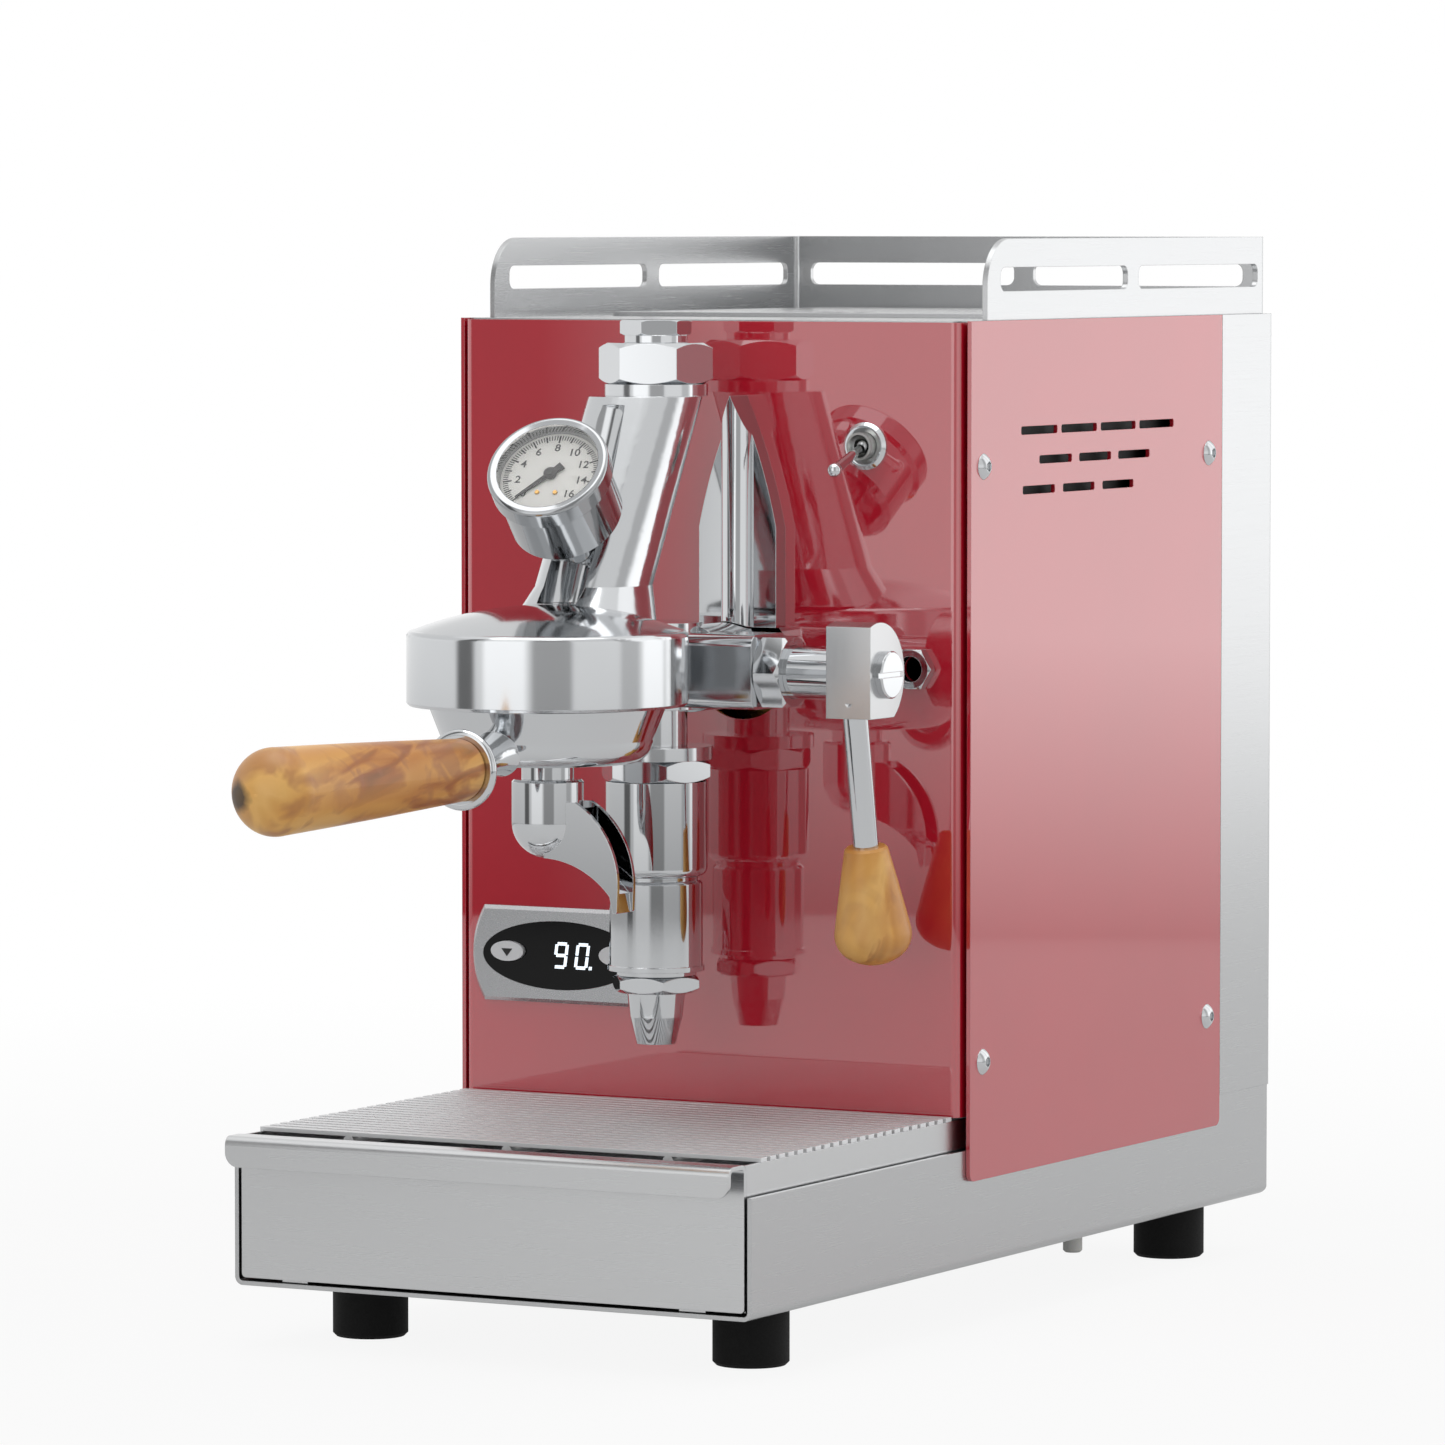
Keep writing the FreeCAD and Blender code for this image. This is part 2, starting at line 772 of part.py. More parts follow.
def make_back_cover():
    """Stainless cover round the back: rear wall and two short sides, with vent slots and the inlet's window."""
    front = base_front + side_panel_rear + joint_gap
    low = wall_top + 2 * skin_gap
    outer = box(-skin_outer, skin_outer, front, base_rear, low, body_top)
    outer = rounded(outer, bend_radius, lambda c, e: along(e, UP) and c.y > base_rear - 0.01)
    inner = box(-skin_inner, skin_inner, front - sheet, base_rear - sheet, low - sheet, body_top + sheet)
    inner = rounded(inner, bend_radius - sheet, lambda c, e: along(e, UP) and c.y > base_rear - sheet - 0.01)
    cover = outer.cut(inner)
    for row in range(4):
        z = side_screw_high - row * 4 * vent_height
        for side in (-1, 1):
            x0, x1 = sorted((side * vent_height * 3, side * half_width * 0.6))
            cover = cover.cut(slot_cutter(x0, x1, base_rear - 2 * sheet, base_rear + sheet,
                                          z - vent_height / 2, z + vent_height / 2, vent_height * 0.3, BACK))
    window = box(inlet_x - inlet_width / 2 - skin_gap, inlet_x + inlet_width / 2 + skin_gap, base_rear - 2 * sheet,
                 base_rear + sheet, inlet_height - inlet_tall / 2 - skin_gap,
                 inlet_height + inlet_tall / 2 + skin_gap)
    return solid(cover.cut(window))


def make_top_plate():
    """Flat top between the side panels, with the tank hatch and front corners notched for the panel's folds."""
    plate = box(-half_width, half_width, panel_back + skin_gap, base_rear - sheet - skin_gap,
                body_top - sheet, body_top)
    plate = rounded(plate, bend_radius, lambda c, e: along(e, UP) and c.y > 0.9 * base_rear)
    fold = half_width - panel_edge_inset - bend_radius - skin_gap
    for side in (-1, 1):
        x0, x1 = sorted((side * fold, side * base_width))
        plate = plate.cut(box(x0, x1, panel_y, panel_y + panel_flange + skin_gap, shelf_height, body_top + sheet))
    return solid(plate.cut(hatch_cutter(0.0)))


def make_cup_rail():
    """Rail of left, back and right plates with two long slots each and large rounded front corners."""
    half = half_width + skin_gap + sheet - rail_inset
    front = base_front + rail_front
    rear = base_rear - rail_rear_gap
    top = body_top + rail_height
    outer = box(-half, half, front, rear, body_top, top)
    outer = rounded(outer, rail_corner, lambda c, e: along(e, UP) and c.y > rear - 0.01)
    inner = box(-half + rail_sheet, half - rail_sheet, front - rail_sheet, rear - rail_sheet,
                body_top - rail_sheet, top + rail_sheet)
    inner = rounded(inner, rail_corner - rail_sheet, lambda c, e: along(e, UP) and c.y > rear - rail_sheet - 0.01)
    rail = outer.cut(inner)
    rail = rounded(rail, rail_front_radius, lambda c, e: along(e, RIGHT) and c.y < front + 0.01 and c.z > top - 0.01)
    low = body_top + rail_slot_bottom
    high = low + rail_slot_height
    slot_front = front + rail_slot_front_margin
    slot_rear = rear - rail_slot_rear_margin
    middle = (slot_front + slot_rear) / 2
    for start, end in ((slot_front, middle - rail_side_post / 2), (middle + rail_side_post / 2, slot_rear)):
        for side in (-1, 1):
            x0, x1 = sorted((side * (half - 2 * rail_sheet), side * (half + rail_sheet)))
            rail = rail.cut(slot_cutter(x0, x1, start, end, low, high, rail_slot_radius, RIGHT))
    for side in (-1, 1):
        x0, x1 = sorted((side * rail_back_post / 2, side * (half - rail_back_margin)))
        rail = rail.cut(slot_cutter(x0, x1, rear - 2 * rail_sheet, rear + rail_sheet, low, high,
                                    rail_slot_radius, BACK))
    return solid(rail)


def make_tank_lid():
    """Lid over the tank hatch: flat plate with a rim that drops into the hatch and a finger hole."""
    plate = slot_cutter(-hatch_half_width - lid_overlap, hatch_half_width + lid_overlap,
                        base_front + hatch_front - lid_overlap, base_front + hatch_rear + lid_overlap,
                        body_top, body_top + lid_thickness, rail_corner, UP)
    low = body_top - lid_rim_depth
    keep = box(-base_width, base_width, base_front, base_rear, low, body_top)
    rim = hatch_cutter(lid_clearance).common(keep).cut(hatch_cutter(lid_clearance + sheet))
    lid = plate.fuse(rim)
    hole_y = base_front + hatch_front + lid_finger_hole
    return solid(lid.cut(rod(V(0, hole_y, low - 1), UP, lid_finger_hole, rail_height)))


pieces["front_panel"] = make_front_panel()
pieces["side_panel_right"] = make_side_panel()
pieces["side_panel_left"] = mirror_x(pieces["side_panel_right"])
right_screws = [make_side_screw(y, z) for y, z in side_screw_places]
pieces["side_panel_screws"] = Part.makeCompound(right_screws + [mirror_x(s) for s in right_screws])
pieces["chassis"] = make_chassis()
pieces["back_cover"] = make_back_cover()
pieces["top_plate"] = make_top_plate()
pieces["cup_rail"] = make_cup_rail()
pieces["tank_lid"] = make_tank_lid()


# Group head
def ellipse_wire(y, z, width, length):
    """Level ellipse across the neck, longer from front to back."""
    centre = V(0, y, z)
    curve = Part.Ellipse(centre + V(0, length / 2, 0), centre + V(width / 2, 0, 0), centre)
    return Part.Wire([curve.toShape()])


def make_bell():
    """Bell ring with a shallow dome, a gasket seat and a channel with two entries for the portafilter's lugs."""
    low = cross_height + bell_bottom
    high = cross_height + bell_top
    outer = bell_diameter / 2
    crown = high + dome_rise
    lip = low + lip_height
    outline = [(lip_bore, low), (outer - bell_edge / 2, low), (outer, low + bell_edge / 2), (outer, high - bell_edge),
               (outer - 0.3 * bell_edge, high - 0.3 * bell_edge, outer - bell_edge, high),
               dome(outer - bell_edge, high, crown), (0, bell_roof), (lip_bore, bell_roof), (lip_bore, gasket_face), (lug_bore, gasket_face),
               (lug_bore, lip), (lip_bore, lip)]
    bell = turned(outline, V(0, bell_y, 0))
    for turn in (0, 180):
        entry = turned([(0, low - 1), (lug_bore, low - 1), (lug_bore, lip + 1), (0, lip + 1)], V(0, 0, 0))
        wedge_reach = 2 * lug_bore
        spread = math.radians(lug_span / 2 + 4)
        wedge = Part.Face(wire([(0, 0), (wedge_reach, -wedge_reach * math.tan(spread)),
                                (wedge_reach, wedge_reach * math.tan(spread))], lambda x, y: V(x, y, low - 1)))
        entry = entry.common(wedge.extrude(V(0, 0, lip_height + 2)))
        entry.rotate(V(0, 0, 0), UP, lug_entry_turn + turn)
        entry.translate(V(0, bell_y, 0))
        bell = bell.cut(entry)
    return bell


def make_neck():
    """Slanted neck from the cap down to the dome, grooved down its front."""
    top_z = cross_height + neck_top
    foot_z = cross_height + neck_foot
    top_y = valve_y - neck_top_lead
    foot_y = valve_y - neck_foot_lead
    sections = [ellipse_wire(top_y, top_z, neck_top_width, neck_top_length),
                ellipse_wire(foot_y, foot_z, neck_foot_width, neck_foot_length)]
    neck = Part.makeLoft(sections, True)
    rise = (dome_rise + 2 * neck_blend) / (top_z - foot_z)
    flare_y = foot_y + (top_y - foot_y) * rise
    flare_width = neck_foot_width + (neck_top_width - neck_foot_width) * rise
    flare_length = neck_foot_length + (neck_top_length - neck_foot_length) * rise
    skirt = [ellipse_wire(foot_y, foot_z, neck_foot_width + 4 * neck_blend, neck_foot_length + 4 * neck_blend),
             ellipse_wire(flare_y, foot_z + dome_rise + 2 * neck_blend, flare_width, flare_length)]
    neck = neck.fuse(Part.makeLoft(skirt, True))
    slope = V(0, foot_y - top_y, foot_z - top_z)
    start = V(0, top_y - neck_top_length / 2 - neck_groove_radius * 0.9, top_z)
    aim = V(0, foot_y - neck_foot_length / 2 + neck_groove_radius * 0.5, foot_z)
    groove = Part.makeCylinder(neck_groove_radius, slope.Length * 1.2, start, aim - start)
    keep_dome = box(-half_width, half_width, base_front, base_rear, cross_height + bell_top + dome_rise, body_top)
    return neck.cut(groove.common(keep_dome))


def make_group():
    """Group casting: bell, neck, upright valve body with its flange, cross block and rear pipe in one piece."""
    body = rod(V(0, valve_y, cross_height + valve_body_bottom), UP, valve_body_diameter,
               valve_body_top - valve_body_bottom)
    valve_neck = rod(V(0, valve_y, flange_bottom), UP, valve_neck_diameter,
                     valve_body_bottom - valve_flange_bottom + 1)
    flange = rod(V(0, valve_y, flange_bottom), UP, valve_flange_diameter, valve_flange_thickness)
    half = block_size / 2
    block = box(0, block_end, valve_y - half, valve_y + half, cross_height - half, cross_height + half)
    block = rounded(block, block_round, lambda c, e: along(e, RIGHT))
    web_half = valve_body_diameter * 0.36
    web = box(-web_half, web_half, bell_y + lug_bore + 3, valve_y, cross_height + bell_bottom + 2,
              cross_height + bell_top - 2)
    pipe = rod(V(rear_pipe_x, valve_y, cross_height), BACK, rear_pipe_diameter, valve_standoff + rear_pipe_end)
    collar = rod(V(0, valve_y, cross_height + neck_top), UP, collar_diameter, collar_height)
    casting = make_bell().multiFuse([make_neck(), body, valve_neck, flange, block, web, pipe, collar])
    chamber = rod(V(chamber_left, valve_y, cross_height), RIGHT, 2 * chamber_radius, block_end - chamber_left + 1)
    casting = casting.cut(chamber)
    stem_bore = rod(V(0, valve_y, flange_bottom - 1), UP, stem_diameter + 2 * stem_clearance,
                    cross_height - flange_bottom)
    casting = casting.cut(stem_bore)
    aim = gauge_normal()
    port = rod(gauge_point(0) - aim * gauge_depth, aim * -1, gauge_stem_diameter + 2 * screw_clearance,
               gauge_stem_reach())
    return solid(casting.cut(port))


def gauge_normal():
    """Direction that the gauge looks in: forward, up and a little to the right."""
    rise = math.radians(gauge_rise)
    turn = math.radians(gauge_turn)
    return V(math.cos(rise) * math.sin(turn), -math.cos(rise) * math.cos(turn), math.sin(rise))


def gauge_point(distance):
    """Point on the gauge's axis, ahead of the bezel's front by a distance."""
    face = V(gauge_face_x, valve_y - gauge_face_lead, cross_height + gauge_face_height)
    return face + gauge_normal() * distance


def gauge_stem_reach():
    """Length of stem behind the case, into the neck."""
    return gauge_depth * 0.75


def make_back_plate():
    """Pointed plate on the panel behind the neck, with an upright half round rib."""
    low = cross_height + back_plate_bottom
    shoulder = cross_height + back_plate_shoulder
    tip = cross_height + back_plate_tip
    left = back_plate_x - back_plate_half
    right = back_plate_x + back_plate_half
    bow_z = (shoulder + tip) / 2
    bow = back_plate_half * 0.60
    outline = [(left, low), (right, low), (right, shoulder), (back_plate_x + bow, bow_z, back_plate_x, tip),
               (back_plate_x - bow, bow_z, left, shoulder)]
    front = panel_y - back_plate_thickness
    plate = plate_y(outline, front, panel_y)
    rib = rod(V(back_plate_x, front, low), UP, 2 * back_plate_rib, tip - low)
    tip_cut = plate_y(outline, front - 2 * back_plate_rib, panel_y)
    plate = plate.fuse(rib.common(tip_cut))
    clear = rod(V(rear_pipe_x, front - 2 * back_plate_rib, cross_height), BACK,
                rear_pipe_diameter + 2 * joint_gap, 4 * back_plate_rib + back_plate_thickness)
    return solid(plate.cut(clear))


cap_bottom = cross_height + neck_top + collar_height
plug_bottom = cap_bottom + cap_height
pieces["group_casting"] = make_group()
pieces["back_plate"] = make_back_plate()
pieces["top_cap"] = solid(hexagon(cap_flats, cap_height, V(0, valve_y, cap_bottom), UP, 0.09, 20.0))
plug = hexagon(plug_flats, plug_height, V(0, valve_y, plug_bottom + plug_ring_height), UP, 0.05, 35.0)
plug = plug.fuse(rod(V(0, valve_y, plug_bottom), UP, plug_ring_diameter, plug_ring_height))
pieces["top_plug"] = solid(plug)
pieces["group_gasket"] = turned(
    [(gasket_inner, gasket_face), (lip_bore - gasket_clearance, gasket_face),
     (lip_bore - gasket_clearance, bell_roof), (gasket_inner, bell_roof)], V(0, bell_y, 0))
screen_low = bell_roof - screen_height
pieces["shower_screen"] = turned(
    [(0, screen_low), (screen_radius, screen_low), (screen_radius, bell_roof), (screen_radius - screen_wall, bell_roof),
     (screen_radius - screen_wall, screen_low + screen_wall), (0, screen_low + screen_wall)], V(0, bell_y, 0))

# Lever and cam
gland_end = block_end + gland_length
gland = hexagon(gland_flats, gland_length, V(block_end, valve_y, cross_height), RIGHT, 0.08, 30.0)
gland = gland.cut(rod(V(block_end - 1, valve_y, cross_height), RIGHT, 2 * (spindle_radius + running_clearance),
                      gland_length + 2))
pieces["gland_nut"] = solid(gland)
cam_end = chamber_radius + stem_clearance
spindle = rod(V(cam_end, valve_y, cross_height), RIGHT, 2 * spindle_radius, spindle_end - cam_end)
cam = rod(V(cam_left, valve_y + cam_throw, cross_height), RIGHT, 2 * cam_radius, cam_end - cam_left + 1)
pieces["cam_spindle"] = solid(spindle.fuse(cam))
stem_top = cross_height - cam_radius - stem_clearance
stem = rod(V(0, valve_y, stem_top - stem_length), UP, stem_diameter, stem_length)
stem = stem.fuse(rod(V(0, valve_y, stem_top - stem_length), UP, stem_head_diameter, stem_head_height))
pieces["valve_stem"] = solid(stem)


def make_lever_head():
    """Lever head: round at the back, flat at the front and below, with a socket for the rod."""
    centre_y = valve_y - head_lead
    end = spindle_end + head_width
    disc = rod(V(spindle_end, centre_y, cross_height), RIGHT, 2 * head_radius, head_width)
    keep = box(spindle_end, end, valve_y - head_front, valve_y + 2 * head_radius, cross_height - head_bottom,
               cross_height + 2 * head_radius)
    head = disc.common(keep)
    return solid(head.cut(rod(rod_start(), rod_way(), rod_diameter, rod_length)))


def rod_way():
    """Direction of the lever rod: down and a little back."""
    tilt = math.radians(rod_tilt)
    return V(0, math.sin(tilt), -math.cos(tilt))


def rod_start():
    """Upper end of the rod, inside the lever head."""
    exit_point = V(spindle_end + head_width / 2, valve_y - rod_lead, cross_height - head_bottom)
    return exit_point - rod_way() * rod_socket


pieces["lever_head"] = make_lever_head()
head_end = spindle_end + head_width
screw = turned([(0, 0), (head_screw_diameter / 2, 0), (head_screw_diameter / 2, head_screw_height - 0.5),
                (head_screw_diameter / 2 - 0.5, head_screw_height), (0, head_screw_height)],
               V(head_end, valve_y, cross_height), RIGHT)
slot_depth = head_screw_height / 2
screw = screw.cut(box(head_end + slot_depth, head_end + 2 * head_screw_height, valve_y - head_screw_diameter,
                      valve_y + head_screw_diameter, cross_height - head_screw_slot / 2,
                      cross_height + head_screw_slot / 2))
pieces["lever_screw"] = solid(screw)
pieces["lever_rod"] = rod(rod_start(), rod_way(), rod_diameter, rod_length)
knob_socket = rod_socket * 1.5
knob_start = rod_start() + rod_way() * (rod_length - knob_socket)
wide = knob_diameter / 2
knob = turned([(0, 0), (knob_top_diameter / 2 - 0.8, 0), (knob_top_diameter / 2, 0.8),
               (wide * 0.84, knob_length * knob_wide_at * 0.62, wide, knob_length * knob_wide_at),
               (wide * 0.95, knob_length * 0.84, wide * 0.66, knob_length * 0.94),
               dome(wide * 0.66, knob_length * 0.94, knob_length)], knob_start, rod_way())
pieces["lever_knob"] = solid(knob.cut(pieces["lever_rod"]))
bush = hexagon(lever_bush_flats, lever_bush_height, V(lever_bush_x, panel_y - lever_bush_height, cross_height), BACK, 0.08)
bush = bush.cut(rod(V(lever_bush_x, panel_y - 2 * lever_bush_height, cross_height), BACK, lever_bush_bore,
                    3 * lever_bush_height))
pieces["lever_bush"] = solid(bush)

# Infusion chamber
nut = hexagon(infusion_nut_flats, infusion_nut_height, V(0, valve_y, cylinder_top), UP, 0.08, 10.0)
pieces["infusion_nut"] = solid(nut.cut(rod(V(0, valve_y, cylinder_top - 1), UP, cylinder_cavity,
                                           infusion_nut_height + 2)))
outer = cylinder_diameter / 2
cavity = cylinder_cavity / 2
cavity_floor = cylinder_bottom + (outer - cavity)
pieces["infusion_cylinder"] = turned(
    [(cavity, cylinder_top), (outer, cylinder_top), (outer, cylinder_bottom + cylinder_chamfer),
     (outer - cylinder_chamfer * 0.3, cylinder_bottom + cylinder_chamfer * 0.3,
      outer - cylinder_chamfer, cylinder_bottom),
     (nozzle_bore / 2, cylinder_bottom), (nozzle_bore / 2, cavity_floor), (cavity, cavity_floor)], V(0, valve_y, 0))
outer = sleeve_diameter / 2
pieces["infusion_sleeve"] = turned(
    [(nozzle_bore / 2, cylinder_bottom), (sleeve_neck_diameter / 2, cylinder_bottom),
     (sleeve_neck_diameter / 2, sleeve_top), (outer - 1, sleeve_top), (outer, sleeve_top - 1), (outer, sleeve_bottom),
     (rim_diameter / 2, sleeve_bottom), (rim_diameter / 2, rim_bottom), (step_diameter / 2, rim_bottom),
     (step_diameter / 2, step_bottom), (nozzle_bore / 2, step_bottom)], V(0, valve_y, 0))
nozzle_tip = nozzle_top - nozzle_height
nozzle = turned(
    [(0, nozzle_top), (nozzle_top_diameter / 2, nozzle_top),
     (nozzle_waist_diameter / 2, nozzle_top - nozzle_height * 0.48), (nozzle_tip_diameter / 2, nozzle_tip),
     (0, nozzle_tip)], V(0, valve_y, 0))
nozzle = nozzle.fuse(hexagon(exhaust_nut_flats, exhaust_nut_height, V(0, valve_y, nozzle_top), UP, 0.1, 8.0))
nozzle = nozzle.cut(rod(V(0, valve_y, nozzle_tip - 1), UP, nozzle_bore, step_bottom - nozzle_tip + 2))
pieces["exhaust_nozzle"] = solid(nozzle)

# Pressure gauge
aim = gauge_normal()
outer = gauge_diameter / 2
window = outer - gauge_bezel
well = -gauge_glass_thickness - gauge_well
back_radius = outer - gauge_body_step
case = turned(
    [(0, -gauge_depth), (back_radius - 2, -gauge_depth), (back_radius, -gauge_depth + 2),
     (back_radius, -gauge_bezel_length), (outer, -gauge_bezel_length + gauge_body_step), (outer, -1.5),
     (outer - 0.5, -0.4, outer - 1.5, 0), (window, -gauge_glass_thickness * 0.2), (window, well), (0, well)],
    gauge_point(0), aim)
case = case.fuse(rod(gauge_point(0) - aim * gauge_depth, aim * -1, gauge_stem_diameter, gauge_stem_reach()))
plug_way = aim.cross(UP.cross(aim)).normalize()
plug_radius = gauge_plug_diameter / 2
plug_reach = back_radius + gauge_plug_height
plug = turned([(0, back_radius - 4), (plug_radius, back_radius - 4), (plug_radius, plug_reach - 1.5),
               dome(plug_radius, plug_reach - 1.5, plug_reach)], gauge_point(-gauge_plug_depth), plug_way)
pieces["gauge_case"] = solid(case.fuse(plug))
dial_face = well + dial_thickness
hub_bore = needle_hub / 2 + running_clearance
pieces["gauge_dial"] = turned([(hub_bore, well), (window - glass_clearance, well),
                               (window - glass_clearance, dial_face), (hub_bore, dial_face)], gauge_point(0), aim)
pieces["gauge_glass"] = turned(
    [(0, -gauge_glass_thickness), (window - glass_clearance, -gauge_glass_thickness),
     (window - glass_clearance, -gauge_glass_thickness * 0.2), (0, -gauge_glass_thickness * 0.2)],
    gauge_point(0), aim)


def make_needle():
    """Needle with a tapered pointer, a counterweight tail and a hub pin through the dial."""
    low = dial_face + needle_gap
    outline = [(-needle_tail, -1.5), (-needle_tail * 0.2, -1.0), (needle_length, -0.25), (needle_length, 0.25),
               (-needle_tail * 0.2, 1.0), (-needle_tail, 1.5)]
    arm = Part.Face(wire(outline, lambda x, y: V(x, y, low))).extrude(V(0, 0, needle_thickness))
    pin = rod(V(0, 0, well + needle_gap / 4), UP, needle_hub, low + 2 * needle_thickness - well - needle_gap / 4)
    disc = rod(V(0, 0, low), UP, 2 * needle_hub, needle_thickness * 1.6)
    needle = solid(arm.multiFuse([pin, disc]))
    needle.rotate(V(0, 0, 0), UP, needle_zero)
    across = UP.cross(aim).normalize()
    upward = aim.cross(across).normalize()
    needle.Placement = FreeCAD.Placement(FreeCAD.Matrix(
        across.x, upward.x, aim.x, gauge_point(0).x, across.y, upward.y, aim.y, gauge_point(0).y,
        across.z, upward.z, aim.z, gauge_point(0).z, 0, 0, 0, 1)).multiply(needle.Placement)
    return needle


pieces["gauge_needle"] = make_needle()


# Portafilter
holder_top = cross_height + bell_bottom - holder_gap
holder_low = holder_top - holder_height
rim_top = gasket_face - rim_gap
basket_outer = basket_diameter / 2
handle_z = cross_height - handle_drop
root_z = cross_height - neck_root_drop


def make_holder():
    """Portafilter body: bowl with a rim and two lugs inside the bell, a spout boss and the neck for the handle."""
    top = holder_top_diameter / 2
    waist = holder_waist_diameter / 2
    rim = rim_diameter_inside / 2
    turn = holder_round * 0.3
    seat = basket_rim / 2 + rim_gap
    well_radius = basket_outer + rim_gap
    well_floor = rim_top - basket_depth - rim_gap
    boss = boss_diameter / 2
    low = min(holder_low, well_floor - 2 * basket_wall)
    outline = [(nozzle_bore / 2, low - boss_height), (boss, low - boss_height), (boss, low),
               (waist - holder_round, low), (waist - turn, low + turn, waist, low + holder_round),
               (top, holder_top), (rim, holder_top), (rim, rim_top), (seat, rim_top),
               (seat, rim_top - basket_wall), (well_radius, rim_top - basket_wall), (well_radius, well_floor),
               (nozzle_bore / 2, well_floor)]
    holder = turned(outline, V(0, bell_y, 0))
    lug_low = cross_height + bell_bottom + lip_height + lug_clearance
    lug_high = gasket_face - 2 * lug_clearance
    lug_out = lug_bore - lug_clearance
    ring = turned([(rim - 1, lug_low), (lug_out, lug_low), (lug_out, lug_high), (rim - 1, lug_high)], V(0, bell_y, 0))
    spread = lug_out * math.sin(math.radians(lug_span / 2))
    lugs = ring.common(box(-2 * lug_out, 2 * lug_out, bell_y - spread, bell_y + spread, lug_low - 1, lug_high + 1))
    start = V(0, bell_y - waist + 3, root_z)
    end = V(0, bell_y - ferrule_radius_at, handle_z)
    sections = [Part.Wire([Part.Circle(start, BACK, neck_root_diameter / 2).toShape()]),
                Part.Wire([Part.Circle((start * 2 + end) * (1 / 3), BACK, neck_end_diameter / 2).toShape()]),
                Part.Wire([Part.Circle(end, BACK, neck_end_diameter / 2).toShape()])]
    neck = Part.makeLoft(sections, True)
    return solid(holder.multiFuse([lugs, neck])), low - boss_height


def make_spout(top):
    """Single spout: round cup under the boss, open at the right into a curved open chute that narrows to its tip."""
    radius = cup_diameter / 2
    inside = radius - cup_wall
    low = top - cup_height
    half = math.sqrt(0.5)
    outline = [(nozzle_bore / 2, top), (radius - 0.8, top), (radius, top - 0.8), (radius, low + radius),
               (radius * half, low + radius * (1 - half), 0, low), (0, low + cup_wall),
               (inside * half, low + radius - inside * half, inside, low + radius),
               (inside, top - 2 * cup_wall), (nozzle_bore / 2, top - 2 * cup_wall)]
    cup = turned(outline, V(0, bell_y, 0))
    width = chute_width / 2
    tip = low - chute_drop
    reach = chute_reach
    side = [(2, low + 0.4), (reach * 0.56, low - chute_drop * 0.2, reach * 0.9, low - chute_drop * 0.67),
            (reach * 0.94, tip + 0.3), (reach * 0.96, tip, reach * 0.99, tip + 0.6), (reach, low - chute_drop * 0.59),
            (reach * 0.86, low + 7.8, reach * 0.46, low + 19.6), (2, low + 19.6)]
    chute = plate_y(side, bell_y - width, bell_y + width)
    hollow = [(2, low + cup_wall + 0.4),
              (reach * 0.58, low - chute_drop * 0.2 + chute_wall, reach * 0.9 + chute_wall, low - chute_drop * 0.63),
              (reach * 0.94 + chute_wall * 0.7, tip - 1), (reach * 1.3, tip - 1), (reach * 1.3, low + 30), (2, low + 30)]
    groove = plate_y(hollow, bell_y - width + chute_wall, bell_y + width - chute_wall)
    cavity = turned([(0, low + cup_wall), (inside * half, low + radius - inside * half, inside, low + radius),
                     (inside, top - 2 * cup_wall), (0, top - 2 * cup_wall)], V(0, bell_y, 0))
    keep_cup = box(2, reach, bell_y - width, bell_y + width, low, low + 17)
    mouth = groove.common(keep_cup)
    return solid(cup.cut(mouth).fuse(chute.cut(groove).cut(cavity)))


pieces["portafilter_body"], boss_bottom = make_holder()
pieces["portafilter_spout"] = make_spout(boss_bottom)
rim = basket_rim / 2
pieces["filter_basket"] = turned(
    [(0, rim_top - basket_depth), (basket_outer - 2, rim_top - basket_depth), (basket_outer, rim_top - basket_depth + 4),
     (basket_outer, rim_top - basket_wall), (rim, rim_top - basket_wall), (rim, rim_top),
     (basket_outer - basket_wall, rim_top), (basket_outer - basket_wall, rim_top - basket_depth + 4),
     (basket_outer - basket_wall - 2, rim_top - basket_depth + basket_wall), (0, rim_top - basket_depth + basket_wall)],
    V(0, bell_y, 0))
ferrule_start = V(0, bell_y - ferrule_radius_at, handle_z)
outer = ferrule_diameter / 2
pieces["portafilter_ferrule"] = turned(
    [(0, 0), (outer - 3, 0), (outer - 0.8, 1.2, outer, 3.0), (outer - 0.6, ferrule_thickness - 0.4,
     outer - 2, ferrule_thickness), (0, ferrule_thickness)], ferrule_start, FORWARD)
handle_start = ferrule_radius_at + ferrule_thickness
handle_length = handle_end_radius - handle_start
thick = handle_end_diameter / 2
thin = handle_start_diameter / 2
round_at = handle_length - handle_end_round
pieces["portafilter_handle"] = turned(
    [(0, 0), (thin - 0.6, 0), (thin, 0.6),
     (thin + (thick - thin) * 0.55, round_at * 0.5, thick, round_at),
     (thick * 0.93, round_at + handle_end_round * 0.45, thick * 0.66, round_at + handle_end_round * 0.78),
     dome(thick * 0.66, round_at + handle_end_round * 0.78, handle_length)],
    V(0, bell_y - handle_start, handle_z), FORWARD)


